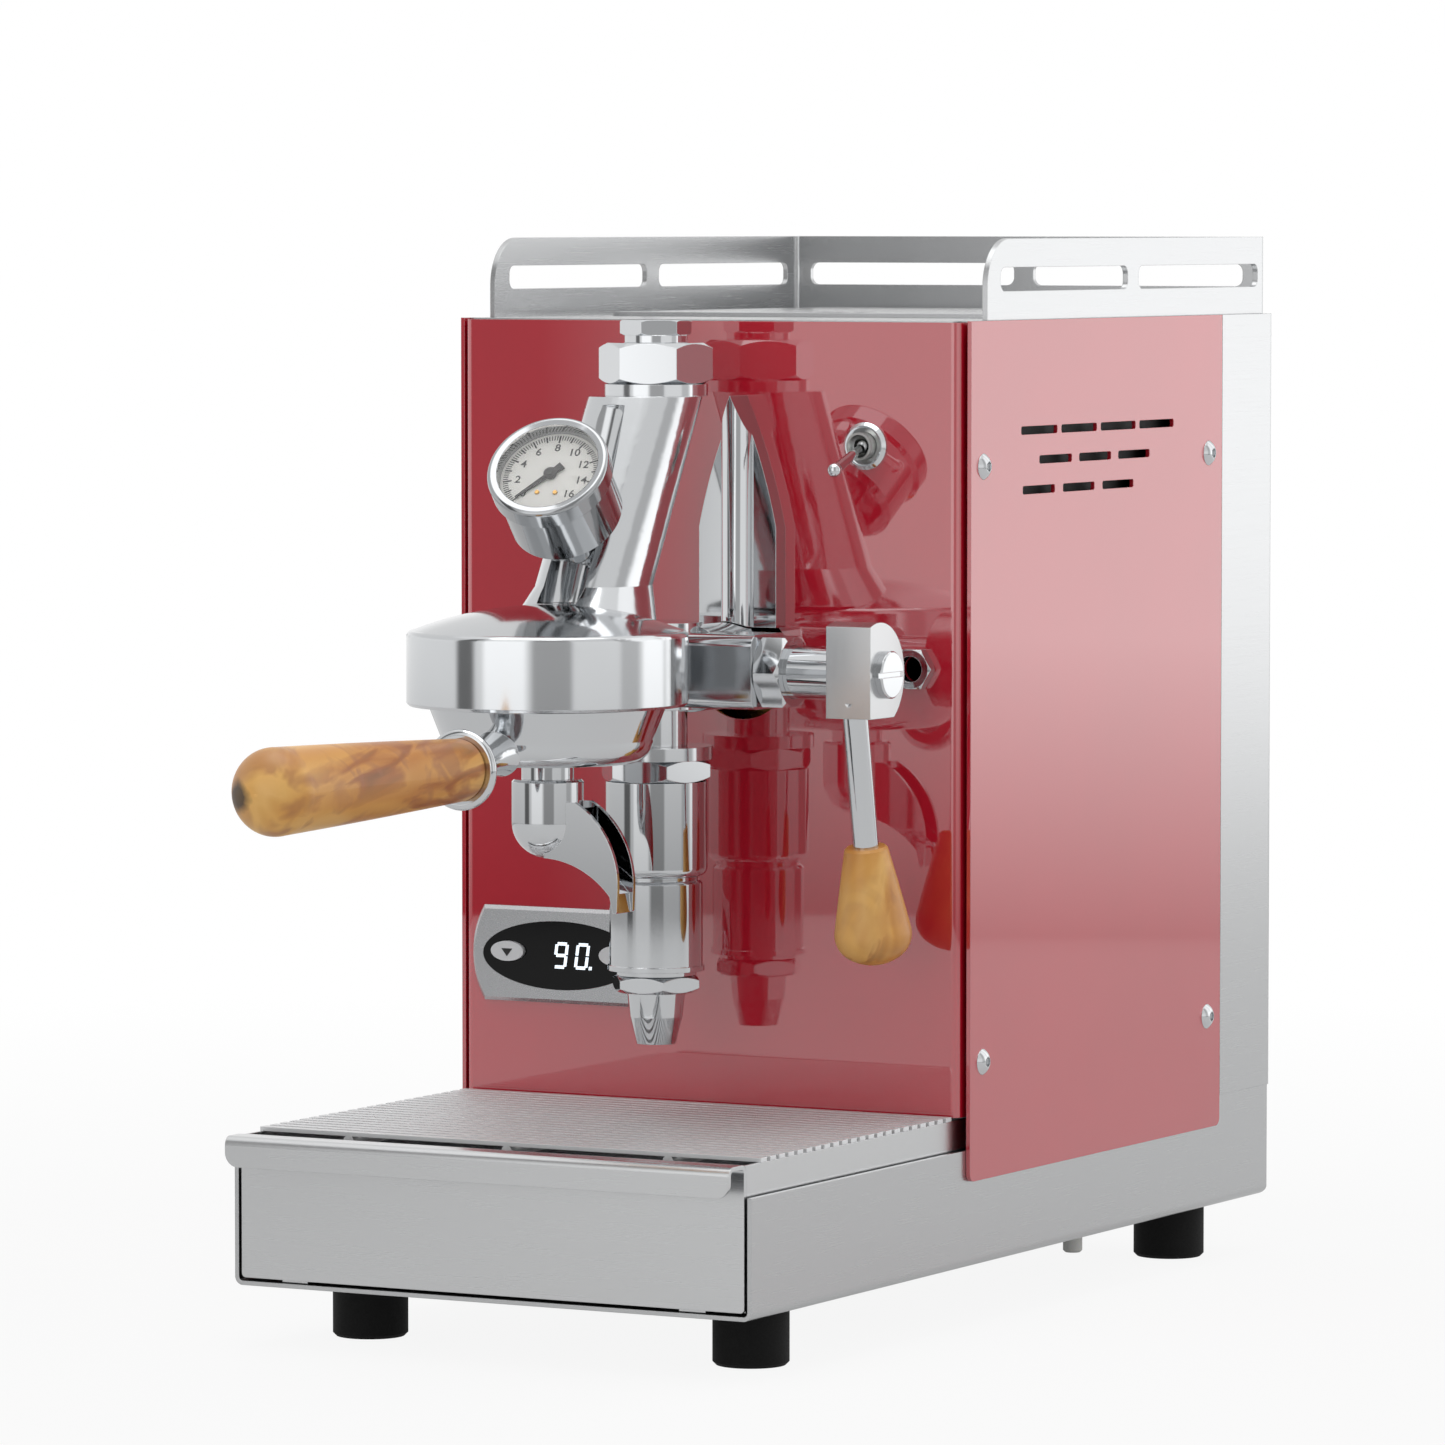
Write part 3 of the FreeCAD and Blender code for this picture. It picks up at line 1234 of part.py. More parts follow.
# Toggle switch
bush_front = panel_y - toggle_bush_length
pivot_y = panel_y - toggle_pivot_lead
ball_bore = bat_pivot_radius + bat_clearance
bush_outer = toggle_bush_diameter / 2
mouth_radius = bush_outer - 0.8
body = turned([(ball_bore, pivot_y - bush_front - bat_pivot_radius * 0.6), (mouth_radius, 0), (bush_outer, 0),
               (bush_outer, toggle_bush_length + sheet), (0, toggle_bush_length + sheet),
               (0, toggle_bush_length - sheet + bat_pivot_radius * 0.8),
               (ball_bore, toggle_bush_length - sheet + bat_pivot_radius * 0.8)],
              V(toggle_x, bush_front, toggle_height), BACK)
half = toggle_body_size / 2
body = body.fuse(box(toggle_x - half, toggle_x + half, panel_back, panel_back + toggle_body_depth,
                     toggle_height - 1.6 * half, toggle_height + 1.6 * half))
pieces["toggle_switch"] = solid(body)
outer = toggle_nut_diameter / 2
inner = bush_outer + running_clearance
pieces["toggle_nut"] = turned(
    [(inner, 0), (outer, 0), (outer, toggle_nut_height * 0.4), (outer - 1.2, toggle_nut_height),
     (inner + 1.6, toggle_nut_height), (inner, toggle_nut_height * 0.7)],
    V(toggle_x, panel_y, toggle_height), FORWARD)
tilt = math.radians(bat_angle)
bat_way = V(0, -math.cos(tilt), -math.sin(tilt))
pivot = V(toggle_x, pivot_y, toggle_height)
bat = turned([(0, 0), (bat_root_radius, 0), (bat_neck_radius, bat_length - bat_ball_radius), (0, bat_length)],
             pivot, bat_way)
bat = bat.multiFuse([Part.makeSphere(bat_pivot_radius, pivot),
                     Part.makeSphere(bat_ball_radius, pivot + bat_way * (bat_length - bat_ball_radius))])
pieces["toggle_bat"] = solid(bat)


# Temperature display
def display_outline(inset, y):
    """Outline of the bezel with bowed ends, drawn in by an inset."""
    half = display_width / 2 - display_bulge - inset * 0.7
    tall = display_tall / 2 - inset
    end = display_width / 2 - inset
    corners = [(-half, -tall), (half, -tall), (end, 0, half, tall), (-half, tall), (-end, 0, -half, -tall)]
    return wire(corners, lambda x, z: V(display_x + x, y, display_height + z))


def make_display_bezel():
    """Bezel with bowed ends, sloped front edges and an oval window."""
    front = panel_y - display_thickness
    slope = display_thickness * 0.5
    sections = [display_outline(0, panel_y), display_outline(0, front + slope), display_outline(slope, front)]
    bezel = Part.makeLoft(sections, True, True)
    return solid(bezel.cut(oval(display_x, display_height, lens_width + 2 * lens_clearance,
                                lens_tall + 2 * lens_clearance, front - 1, panel_y + 1)))


lens_front = panel_y - display_thickness - lens_proud
lens = oval(display_x, display_height, lens_width - lens_clearance, lens_tall - lens_clearance,
            lens_front, lens_front + lens_depth)
for name, side in (("button_down", -1), ("button_up", 1)):
    x = display_x + side * button_offset + button_shift
    z = display_height + button_rise
    front = lens_front - button_proud
    pieces[name] = oval(x, z, button_width, button_tall, front, front + button_depth)
    lens = lens.cut(oval(x, z, button_width + 2 * button_clearance, button_tall + 2 * button_clearance,
                         lens_front - 1, front + button_depth + 2 * button_proud))
pieces["display_lens"] = solid(lens)
pieces["display_bezel"] = make_display_bezel()


# Inside the body
def make_tank():
    """Open water tank on the shelf with an outlet spigot through it."""
    low = shelf_height + sheet
    front = base_front + tank_front
    rear = base_front + tank_rear
    outer = slot_cutter(-tank_half_width, tank_half_width, front, rear, low, tank_top, rail_corner, UP)
    inner = slot_cutter(-tank_half_width + tank_wall, tank_half_width - tank_wall, front + tank_wall,
                        rear - tank_wall, low + tank_wall, tank_top + tank_wall, rail_corner - 1, UP)
    spigot = rod(V(tank_outlet_x, base_front + tank_outlet_setback, low - tank_outlet_drop), UP,
                 tank_outlet_diameter, tank_outlet_drop + tank_wall)
    return solid(outer.cut(inner).fuse(spigot))


def feed_direction():
    """Level direction from the pump's outlet towards the boiler's axis."""
    return V(-tank_outlet_x, boiler_y - base_front - pump_outlet_setback, 0).normalize()


def make_boiler():
    """Upright boiler shell with a hole for the element, a boss to the group and a feed nipple."""
    inner = boiler_radius - boiler_wall
    hole = element_hole_diameter / 2
    shell = turned([(0, boiler_bottom), (boiler_radius - 6, boiler_bottom), (boiler_radius, boiler_bottom + 6),
                    (boiler_radius, boiler_top), (hole, boiler_top), (hole, boiler_top - boiler_wall),
                    (inner, boiler_top - boiler_wall), (inner, boiler_bottom + 8), (inner - 5, boiler_bottom + boiler_wall),
                    (0, boiler_bottom + boiler_wall)], V(0, boiler_y, 0))
    boss_front = panel_y + rear_pipe_end
    boss = rod(V(rear_pipe_x, boss_front, cross_height), BACK, boiler_boss_diameter, boiler_y - boss_front)
    way = feed_direction()
    nipple = rod(V(0, boiler_y, feed_height) - way * (boiler_radius + nipple_length / 2), way, nipple_diameter,
                 nipple_length)
    fill = rod(V(0, boiler_y, boiler_bottom + boiler_wall), UP, 2 * inner, boiler_top - boiler_bottom - 2 * boiler_wall)
    return solid(shell.fuse(boss.fuse(nipple).cut(fill)))


def make_element():
    """Heating element: flange on the boiler, a bent rod inside and two terminals on top."""
    flange = rod(V(0, boiler_y, boiler_top), UP, element_flange_diameter, element_flange_height)
    spread = element_rod_spread / 2
    low = boiler_top - element_rod_drop
    heater = tube_path([V(-spread, boiler_y, boiler_top), V(-spread, boiler_y, low), V(spread, boiler_y, low),
                        V(spread, boiler_y, boiler_top)], spread * 0.8, element_rod_diameter)
    terminals = [rod(V(x, boiler_y, boiler_top), UP, terminal_diameter, element_flange_height + terminal_height)
                 for x in (-spread, spread)]
    return solid(flange.multiFuse([heater] + terminals))


def make_pump():
    """Vibration pump lying front to back on a foot, with a rear inlet and an upper outlet nipple."""
    front = base_front + pump_front
    rear = base_front + pump_rear
    length = rear - front
    r = pump_radius
    barrel = turned([(0, 0), (r * 0.6, 0), (r * 0.6, length * 0.2), (r, length * 0.2), (r, length * 0.7),
                     (r * 0.7, length * 0.7), (r * 0.7, length), (0, length)],
                    V(tank_outlet_x, front, pump_height), BACK)
    inlet = rod(V(tank_outlet_x, rear - 1, pump_height), BACK, nipple_diameter, nipple_length + 1)
    outlet = rod(V(tank_outlet_x, base_front + pump_outlet_setback, pump_height), UP, nipple_diameter,
                 r + nipple_length)
    foot = box(tank_outlet_x - pump_foot_half, tank_outlet_x + pump_foot_half, front + length * 0.25,
               front + length * 0.65, floor_top, pump_height - r * 0.5)
    return solid(barrel.multiFuse([inlet, outlet, foot]))


def make_inlet():
    """Power inlet: block in the back cover with a socket and three blades."""
    half = inlet_width / 2
    tall = inlet_tall / 2
    block = box(inlet_x - half, inlet_x + half, base_rear - inlet_depth, base_rear, inlet_height - tall,
                inlet_height + tall)
    socket = slot_cutter(inlet_x - half + inlet_wall, inlet_x + half - inlet_wall, base_rear - inlet_socket_depth,
                         base_rear + 1, inlet_height - tall + inlet_wall, inlet_height + tall - inlet_wall, 2.0, BACK)
    block = block.cut(socket)
    for offset, z in ((-7, -2.0), (0, 2.0), (7, -2.0)):
        block = block.fuse(box(inlet_x + offset - 1, inlet_x + offset + 1, base_rear - inlet_socket_depth - 1,
                               base_rear - inlet_pin_recess, inlet_height + z - 2, inlet_height + z + 2))
    return solid(block)


pieces["water_tank"] = make_tank()
pieces["boiler"] = make_boiler()
pieces["heating_element"] = make_element()
pieces["pump"] = make_pump()
outlet = V(tank_outlet_x, base_front + pump_outlet_setback, pump_height + pump_radius + nipple_length)
feed_turn = V(outlet.x, outlet.y, feed_height)
feed_end = V(0, boiler_y, feed_height) - feed_direction() * (boiler_radius + nipple_length / 2)
pieces["feed_pipe"] = tube_path([outlet, feed_turn, feed_end], pipe_bend, pipe_diameter)
spigot_end = V(tank_outlet_x, base_front + tank_outlet_setback, shelf_height + sheet - tank_outlet_drop)
hose_turn = V(spigot_end.x, spigot_end.y, pump_height)
hose_end = V(spigot_end.x, base_front + pump_rear + nipple_length, pump_height)
pieces["suction_hose"] = tube_path([spigot_end, hose_turn, hose_end], hose_bend, hose_diameter)
pieces["control_box"] = box(-chassis_inner, -chassis_inner + control_width, base_front + control_front,
                            base_front + control_rear, control_bottom, control_top)
pieces["power_inlet"] = make_inlet()

os.makedirs("parts", exist_ok=True)
for name, shape in pieces.items():
    shape.exportStep("parts/" + name + ".step")
    print(name, len(shape.Solids), "valid" if shape.isValid() else "INVALID", round(shape.Volume, 1))
print(len(pieces), "nodes")
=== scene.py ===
# %% [markdown]
# # An espresso machine, dressed and lit
#
# The machine is a tall red box on a stainless base, with a chromed lever group in front of it. Its solids
# come ready made with every moving piece on its own body. This lesson gives them finishes, adds the print,
# the lit digits and the small trim that solids don't carry, and sets up a camera and soft studio light.

# %% Load the frame
import json
import math

import bmesh
import bpy
from mathutils import Matrix, Vector


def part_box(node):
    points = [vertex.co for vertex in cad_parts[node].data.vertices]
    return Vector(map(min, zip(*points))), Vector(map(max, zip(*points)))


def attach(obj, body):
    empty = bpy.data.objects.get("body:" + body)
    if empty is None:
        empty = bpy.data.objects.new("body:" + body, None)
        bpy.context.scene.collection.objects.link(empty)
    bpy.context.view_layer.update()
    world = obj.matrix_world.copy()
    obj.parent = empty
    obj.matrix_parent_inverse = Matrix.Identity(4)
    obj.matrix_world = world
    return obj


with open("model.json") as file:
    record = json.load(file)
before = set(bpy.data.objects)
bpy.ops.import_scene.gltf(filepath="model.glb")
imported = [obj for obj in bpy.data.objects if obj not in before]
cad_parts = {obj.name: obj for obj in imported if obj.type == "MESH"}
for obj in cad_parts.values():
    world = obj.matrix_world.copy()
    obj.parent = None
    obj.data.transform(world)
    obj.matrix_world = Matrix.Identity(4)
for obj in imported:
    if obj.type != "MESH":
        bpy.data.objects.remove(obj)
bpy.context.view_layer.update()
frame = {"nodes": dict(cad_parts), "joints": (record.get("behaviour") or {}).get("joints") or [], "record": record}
MM = 0.001

# %% [markdown]
# ## Colours and nodes
#
# Colours are written as the hex values that a paint chart or a photo editor shows, and one function turns
# them into the linear light that shaders want. One more function adds a shader node, sets its fields and
# sockets and links what is passed to it, so that each finish below reads as a short recipe. Every finish
# starts from the same few nodes: a main shader, its output, and the place on the object in metres.


# %% Helpers for every finish
def paint(hex_value):
    """Linear colour of an sRGB hex value."""
    channels = [int(hex_value[i:i + 2], 16) / 255 for i in (1, 3, 5)]
    linear = [c / 12.92 if c <= 0.04045 else ((c + 0.055) / 1.055) ** 2.4 for c in channels]
    return (*linear, 1.0)


def wire(tree, node, **sockets):
    """Sets a node's sockets, by name or by number as n0, n1 and so on, to a value or to another node's socket."""
    for name, value in sockets.items():
        key = int(name[1:]) if name[0] == "n" and name[1:].isdigit() else name.replace("_", " ")
        if isinstance(value, bpy.types.NodeSocket):
            tree.links.new(value, node.inputs[key])
        else:
            node.inputs[key].default_value = value


def add(tree, kind, fields=None, **sockets):
    """Adds a node; fields are its own settings, and a ramp's stops are pairs of a place and a linear colour."""
    node = tree.nodes.new(kind)
    for name, value in (fields or {}).items():
        if name == "stops":
            band = node.color_ramp.elements
            while len(band) < len(value):
                band.new(0.5)
            for element, (place, colour) in zip(band, value):
                element.position = place
                element.color = colour
        else:
            setattr(node, name, value)
    wire(tree, node, **sockets)
    return node


def finish(name):
    """New material with a main shader on its output; gives the material, its tree, the shader and the place."""
    material = bpy.data.materials.new(name)
    material.use_nodes = True
    tree = material.node_tree
    tree.nodes.clear()
    shader = add(tree, "ShaderNodeBsdfPrincipled")
    add(tree, "ShaderNodeOutputMaterial", None, Surface=shader.outputs[0])
    return material, tree, shader, add(tree, "ShaderNodeTexCoord").outputs["Object"]


EDGE_ROUND = 0.35 * MM
print("helpers ready, red lacquer would be", [round(c, 3) for c in paint("#BA1028")])

# %% [markdown]
# ## Red lacquer
#
# The front and side sheets are steel sprayed with a deep red two-layer lacquer: colour below, clear coat on
# top. The eye sees a saturated dark red with sharp, bright reflections of the studio over it. A dense coat
# layer on the shader gives that second, sharper gloss; a faint orange peel keeps the reflections from looking
# like glass. The real peel is a few millimetres from crest to crest and only micrometres high. Spraying by
# hand leaves passes about 60 mm wide that differ a little in tone and gloss. The bevel node rounds the edges
# for the light alone, as a bent sheet's real edges are.


# %% Lacquer on sheet steel
def red_lacquer():
    material, tree, shader, place = finish("red_lacquer")
    peel = add(tree, "ShaderNodeTexNoise", None, Vector=place, Scale=1 / (9 * MM), Detail=1.0)
    edge = add(tree, "ShaderNodeBevel", {"samples": 4}, Radius=EDGE_ROUND)
    bump = add(tree, "ShaderNodeBump", None, Strength=0.015, Distance=0.1 * MM, Height=peel.outputs["Fac"],
               Normal=edge.outputs["Normal"])
    mist = add(tree, "ShaderNodeTexNoise", None, Vector=place, Scale=1 / (60 * MM), Detail=2.0)
    tone = add(tree, "ShaderNodeMix", {"data_type": "RGBA"}, Factor=mist.outputs["Fac"], n6=paint("#C0122B"),
               n7=paint("#B40E25"))
    gloss = add(tree, "ShaderNodeMapRange", None, Value=mist.outputs["Fac"], To_Min=0.015, To_Max=0.025)
    wire(tree, shader, Base_Color=tone.outputs[2], Roughness=0.5, Specular_IOR_Level=0.1, Coat_Weight=1.0,
         Coat_IOR=2.4, Coat_Roughness=gloss.outputs["Result"], Normal=bump.outputs["Normal"],
         Coat_Normal=bump.outputs["Normal"])
    return material


RED = red_lacquer()
print("finish:", RED.name)

# %% [markdown]
# ## Chrome and stainless steel
#
# The group head is brass, turned, ground and plated. Nuts and rods are polished to a mirror; the bell and the
# neck keep a satin grind, so their reflections are soft. The base, the tray, the rail and the back cover are
# cold rolled stainless sheet with a fine brushed grain of about a quarter of a millimetre, which smears what
# they mirror. The grain is noise stretched along one axis, and it moves the roughness more than the height.
# The gauge's case is chrome, given a darker colour than the other chrome as a painted dark reflection, and
# the grate's wire is drawn and left dull.


# %% Polished, satin and brushed metal
def chrome(name, low, high, colour="#CFD1D3"):
    material, tree, shader, place = finish(name)
    smear = add(tree, "ShaderNodeTexNoise", None, Vector=place, Scale=1 / (14 * MM), Detail=3.0)
    rough = add(tree, "ShaderNodeMapRange", None, Value=smear.outputs["Fac"], To_Min=low, To_Max=high)
    edge = add(tree, "ShaderNodeBevel", {"samples": 4}, Radius=EDGE_ROUND)
    wire(tree, shader, Base_Color=paint(colour), Metallic=1.0, Roughness=rough.outputs["Result"],
         Normal=edge.outputs["Normal"])
    return material


def brushed_stainless(name, grain, low, high, colour):
    """Sheet metal whose grain runs along the axis with the long grain size; sizes are in millimetres."""
    material, tree, shader, place = finish(name)
    along = add(tree, "ShaderNodeMapping", None, Vector=place, Scale=[1 / (size * MM) for size in grain])
    lines = add(tree, "ShaderNodeTexNoise", None, Vector=along.outputs["Vector"], Scale=1.0, Detail=2.0)
    rough = add(tree, "ShaderNodeMapRange", None, Value=lines.outputs["Fac"], To_Min=low, To_Max=high)
    edge = add(tree, "ShaderNodeBevel", {"samples": 4}, Radius=EDGE_ROUND)
    bump = add(tree, "ShaderNodeBump", None, Strength=0.02, Distance=0.02 * MM, Height=lines.outputs["Fac"],
               Normal=edge.outputs["Normal"])
    wire(tree, shader, Base_Color=paint(colour), Metallic=1.0, Roughness=rough.outputs["Result"],
         Normal=bump.outputs["Normal"])
    return material


FINE = 0.25
LONG = 30.0
CHROME = chrome("polished_chrome", 0.03, 0.07)
CHROME_SATIN = chrome("satin_ground_chrome", 0.08, 0.14)
# The darker colour on the gauge case is a painted dark reflection on chrome, not a darker metal.
GAUGE_CHROME_PAINTED_DARK = chrome("chrome_gauge_case_painted_dark_reflection", 0.06, 0.10, "#A9ABAD")
STEEL_X = brushed_stainless("brushed_stainless_across", (LONG, FINE, FINE), 0.22, 0.30, "#D2D3D4")
STEEL_Y = brushed_stainless("brushed_stainless_lengthwise", (FINE, LONG, FINE), 0.22, 0.30, "#C4C5C6")
STEEL_SATIN = brushed_stainless("satin_stainless", (FINE, FINE, LONG), 0.20, 0.28, "#C6C7C8")
STEEL_WIRE = brushed_stainless("drawn_stainless_wire", (LONG, FINE, FINE), 0.52, 0.62, "#DEDFE0")
print("finishes:", CHROME.name, CHROME_SATIN.name, GAUGE_CHROME_PAINTED_DARK.name, STEEL_X.name, STEEL_Y.name,
      STEEL_SATIN.name, STEEL_WIRE.name)

# %% [markdown]
# ## Olive wood
#
# Both handles are turned from olive wood and oiled. Olive is honey yellow with soft pale clouds, and brown
# veins that wander along the grain, crowd in some places and leave others clear. A dark knot ends one vein.
# Clouds are broad noise, veins are the low parts of a finer, stretched noise, and a third noise says where
# they crowd. Reddish patches about 16 mm across lie over both. Clouds are 10 to 30 mm long and veins lie 3 to
# 8 mm apart. The mapping is of the texture kind, which turns the pattern before it stretches it, so that the
# grain itself can lean.


# %% Olive wood along an axis
def olive_wood(name, stretch, turn, vein_depth, patch_depth, knot, knot_size):
    """Wood whose grain runs along the axis with the long stretch, in millimetres, turned; the knot is a place."""
    material, tree, shader, place = finish(name)
    along = add(tree, "ShaderNodeMapping", {"vector_type": "TEXTURE"}, Vector=place, Rotation=turn,
                Scale=[size * MM for size in stretch])
    clouds = add(tree, "ShaderNodeTexNoise", None, Vector=along.outputs["Vector"], Scale=0.55, Detail=2.0,
                 Distortion=0.6)
    tone = add(tree, "ShaderNodeValToRGB", {"stops": [(0.30, paint("#C07F38")), (0.46, paint("#D59A4A")),
                                                      (0.60, paint("#E3B164")), (0.75, paint("#DCA555"))]},
               Fac=clouds.outputs["Fac"])
    thin = add(tree, "ShaderNodeMapping", None, Vector=along.outputs["Vector"], Scale=(2.4, 2.4, 2.4))
    flow = add(tree, "ShaderNodeTexNoise", None, Vector=thin.outputs["Vector"], Scale=0.7, Detail=3.0,
               Roughness=0.45, Distortion=0.5)
    vein = add(tree, "ShaderNodeValToRGB", {"stops": [(0.28, paint("#7A4A34")), (0.40, paint("#B98562")),
                                                      (0.50, paint("#FFFFFF")), (0.72, paint("#F6ECDC"))]},
               Fac=flow.outputs["Fac"])
    crowd = add(tree, "ShaderNodeTexNoise", None, Vector=along.outputs["Vector"], Scale=0.35, Detail=1.0)
    crowded = add(tree, "ShaderNodeMapRange", None, Value=crowd.outputs["Fac"], From_Min=0.42, From_Max=0.60,
                  To_Min=0.05, To_Max=vein_depth)
    veined = add(tree, "ShaderNodeMix", {"data_type": "RGBA", "blend_type": "MULTIPLY"},
                 Factor=crowded.outputs["Result"], n6=tone.outputs["Color"], n7=vein.outputs["Color"])
    blush = add(tree, "ShaderNodeTexNoise", None, Vector=place, Scale=1 / (16 * MM), Detail=2.0, Distortion=1.0)
    patch = add(tree, "ShaderNodeMapRange", None, Value=blush.outputs["Fac"], From_Min=0.50, From_Max=0.66,
                To_Min=0.0, To_Max=patch_depth)
    mottled = add(tree, "ShaderNodeMix", {"data_type": "RGBA"}, Factor=patch.outputs["Result"],
                  n6=veined.outputs[2], n7=paint("#A0643F"))
    away = add(tree, "ShaderNodeVectorMath", {"operation": "DISTANCE"}, n0=place, n1=knot)
    ragged = add(tree, "ShaderNodeMath", {"operation": "MULTIPLY_ADD"}, n0=flow.outputs["Fac"],
                 n1=-knot_size * 1.4, n2=away.outputs["Value"])
    dark = add(tree, "ShaderNodeMapRange", None, Value=ragged.outputs[0], From_Min=-knot_size * 0.1,
               From_Max=knot_size * 0.6, To_Min=0.9, To_Max=0.0)
    wood = add(tree, "ShaderNodeMix", {"data_type": "RGBA"}, Factor=dark.outputs["Result"],
               n6=mottled.outputs[2], n7=paint("#180D07"))
    rough = add(tree, "ShaderNodeMapRange", None, Value=flow.outputs["Fac"], To_Min=0.36, To_Max=0.48)
    wire(tree, shader, Base_Color=wood.outputs[2], Roughness=rough.outputs["Result"], Coat_Weight=0.15,
         Coat_Roughness=0.25)
    return material


handle_low, handle_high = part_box("portafilter_handle")
knob_low, knob_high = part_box("lever_knob")
handle_middle = (handle_low.x + handle_high.x) / 2
handle_knot = Vector((handle_middle - 8 * MM, handle_low.y + 2.5 * MM, handle_low.z + 13 * MM))
knob_knot = Vector((knob_low.x + 3 * MM, knob_high.y - 4 * MM, knob_low.z + 8 * MM))
WOOD_HANDLE = olive_wood("oiled_olive_wood_handle", (12, 60, 12), (0.15, 0.1, 0.2), 0.8, 0.6, handle_knot, 5 * MM)
WOOD_KNOB = olive_wood("oiled_olive_wood_knob", (9, 9, 40), (0.1, 0.45, 0.0), 0.7, 0.2, knob_knot, 1.2 * MM)
print("finishes:", WOOD_HANDLE.name, WOOD_KNOB.name)

# %% [markdown]
# ## Plain finishes
#
# Rubber, moulded plastic, printed card, brass and copper are plainer, yet none is one flat tone: a mould
# leaves a fine spark-eroded grain, a turned part a faint cloud of wear. One recipe takes the colour, the
# roughness and the size of that grain in millimetres, and lets the grain move the roughness, the tone and the
# height a little.


# %% Plain finishes
def plain(name, colour, roughness, metallic=0.0, grain=0.6, **more):
    material, tree, shader, place = finish(name)
    speck = add(tree, "ShaderNodeTexNoise", None, Vector=place, Scale=1 / (grain * MM), Detail=2.0)
    rough = add(tree, "ShaderNodeMapRange", None, Value=speck.outputs["Fac"], To_Min=roughness * 0.8,
                To_Max=roughness * 1.2)
    tone = add(tree, "ShaderNodeMix", {"data_type": "RGBA", "blend_type": "MULTIPLY"}, Factor=0.15,
               n6=paint(colour), n7=speck.outputs["Color"])
    bump = add(tree, "ShaderNodeBump", None, Strength=0.03, Distance=0.02 * MM, Height=speck.outputs["Fac"])
    wire(tree, shader, Base_Color=tone.outputs[2], Roughness=rough.outputs["Result"], Metallic=metallic,
         Normal=bump.outputs["Normal"], **more)
    return material


def clear_glass(name):
    material, tree, shader, place = finish(name)
    wipe = add(tree, "ShaderNodeTexNoise", None, Vector=place, Scale=1 / (6 * MM), Detail=2.0)
    rough = add(tree, "ShaderNodeMapRange", None, Value=wipe.outputs["Fac"], To_Min=0.0, To_Max=0.004)
    wire(tree, shader, Base_Color=paint("#FFFFFF"), Roughness=rough.outputs["Result"], Transmission_Weight=1.0,
         IOR=1.3)
    return material


def lit(name, colour, strength):
    """Glowing segment: emits its own colour, a little unevenly."""
    material, tree, shader, place = finish(name)
    spread = add(tree, "ShaderNodeTexNoise", None, Vector=place, Scale=1 / (3 * MM), Detail=1.0)
    level = add(tree, "ShaderNodeMapRange", None, Value=spread.outputs["Fac"], To_Min=strength * 0.9,
                To_Max=strength * 1.1)
    wire(tree, shader, Base_Color=paint(colour), Roughness=0.4, Emission_Color=paint(colour),
         Emission_Strength=level.outputs["Result"])
    return material


BLACK = plain("moulded_black_rubber", "#060606", 0.7, Specular_IOR_Level=0.25)
# Near-black colour on the chassis is painted shade: it darkens the inside seen through the side vents.
CHASSIS_PAINTED_SHADE = plain("near_black_painted_shade_chassis", "#121212", 0.6, grain=1.0)
ZINC = plain("zinc_plated_steel", "#B4B4B0", 0.30, 1.0, 3.0)
GREY_PLASTIC = plain("pale_grey_moulded_polyamide", "#D6D6D2", 0.45)
DIAL = plain("printed_white_card", "#ECEBE6", 0.55, grain=0.3)
INK = plain("black_printing_ink", "#141414", 0.5, grain=0.3)
GLASS = clear_glass("polished_clear_glass")
LENS = plain("polished_black_acrylic", "#040405", 0.05, grain=4.0, Specular_IOR_Level=0.25)
SILVER = plain("satin_silver_plated_plastic", "#C4C5C7", 0.26, 1.0, 0.3)
BUTTON = plain("painted_silver_plastic", "#D8D9DB", 0.35, 0.3, 0.3)
TANK = plain("milky_blown_plastic", "#DDE4E6", 0.25, 0.0, 2.0, Transmission_Weight=0.4)
BRASS = plain("turned_brass", "#B98F4A", 0.28, 1.0, 2.0)
COPPER = plain("drawn_copper", "#B8734E", 0.30, 1.0, 2.0)
MOULDED = plain("moulded_black_polyamide", "#151515", 0.5)
SILICONE = plain("extruded_milky_silicone", "#DAD6CE", 0.45, grain=1.0)
DIGITS = lit("white_led_segment", "#DCE8F2", 1.1)
print("finishes:", len(bpy.data.materials))

# %% [markdown]
# ## Dressing the solids
#
# Every solid keeps its place and its mesh. It only takes a finish, chosen by the slot that the model's record
# gives it, with a few choices by piece where the grain of the sheet runs another way or the metal is ground
# duller. The chassis behind the vents is coloured near black: painted shade for the dark inside that shows
# through the vents.

# %% Finishes on the solids
BY_SLOT = {"red_paint": RED, "stainless": STEEL_Y, "chrome": CHROME, "olive_wood": WOOD_HANDLE,
           "black_rubber": BLACK, "zinc_steel": ZINC, "stub_plastic": GREY_PLASTIC, "dial_white": DIAL,
           "needle_black": INK, "clear_glass": GLASS, "display_black": LENS, "bezel_silver": SILVER,
           "button_silver": BUTTON, "tank_plastic": TANK, "boiler_brass": BRASS, "pipe_copper": COPPER,
           "pump_plastic": MOULDED, "hose_silicone": SILICONE}
# The chassis takes the near-black painted shade for the dark inside behind the vents.
BY_NODE = {"drip_tray": STEEL_X, "drip_grate": STEEL_WIRE, "lever_head": STEEL_SATIN, "lever_knob": WOOD_KNOB,
           "group_casting": CHROME_SATIN, "gauge_case": GAUGE_CHROME_PAINTED_DARK, "chassis": CHASSIS_PAINTED_SHADE,
           "side_panel_screws": CHROME}
for part in frame["record"]["subparts"]:
    node = frame["nodes"][part["node"]]
    node.data.materials.clear()
    node.data.materials.append(BY_NODE.get(part["node"], BY_SLOT[part["material_slot"]]))

# %% [markdown]
# ## Making a small piece
#
# New pieces are built in a bmesh, moved to their place and turned into one object that rides on a body. The
# helper recalculates the normals, so that every face points outwards.


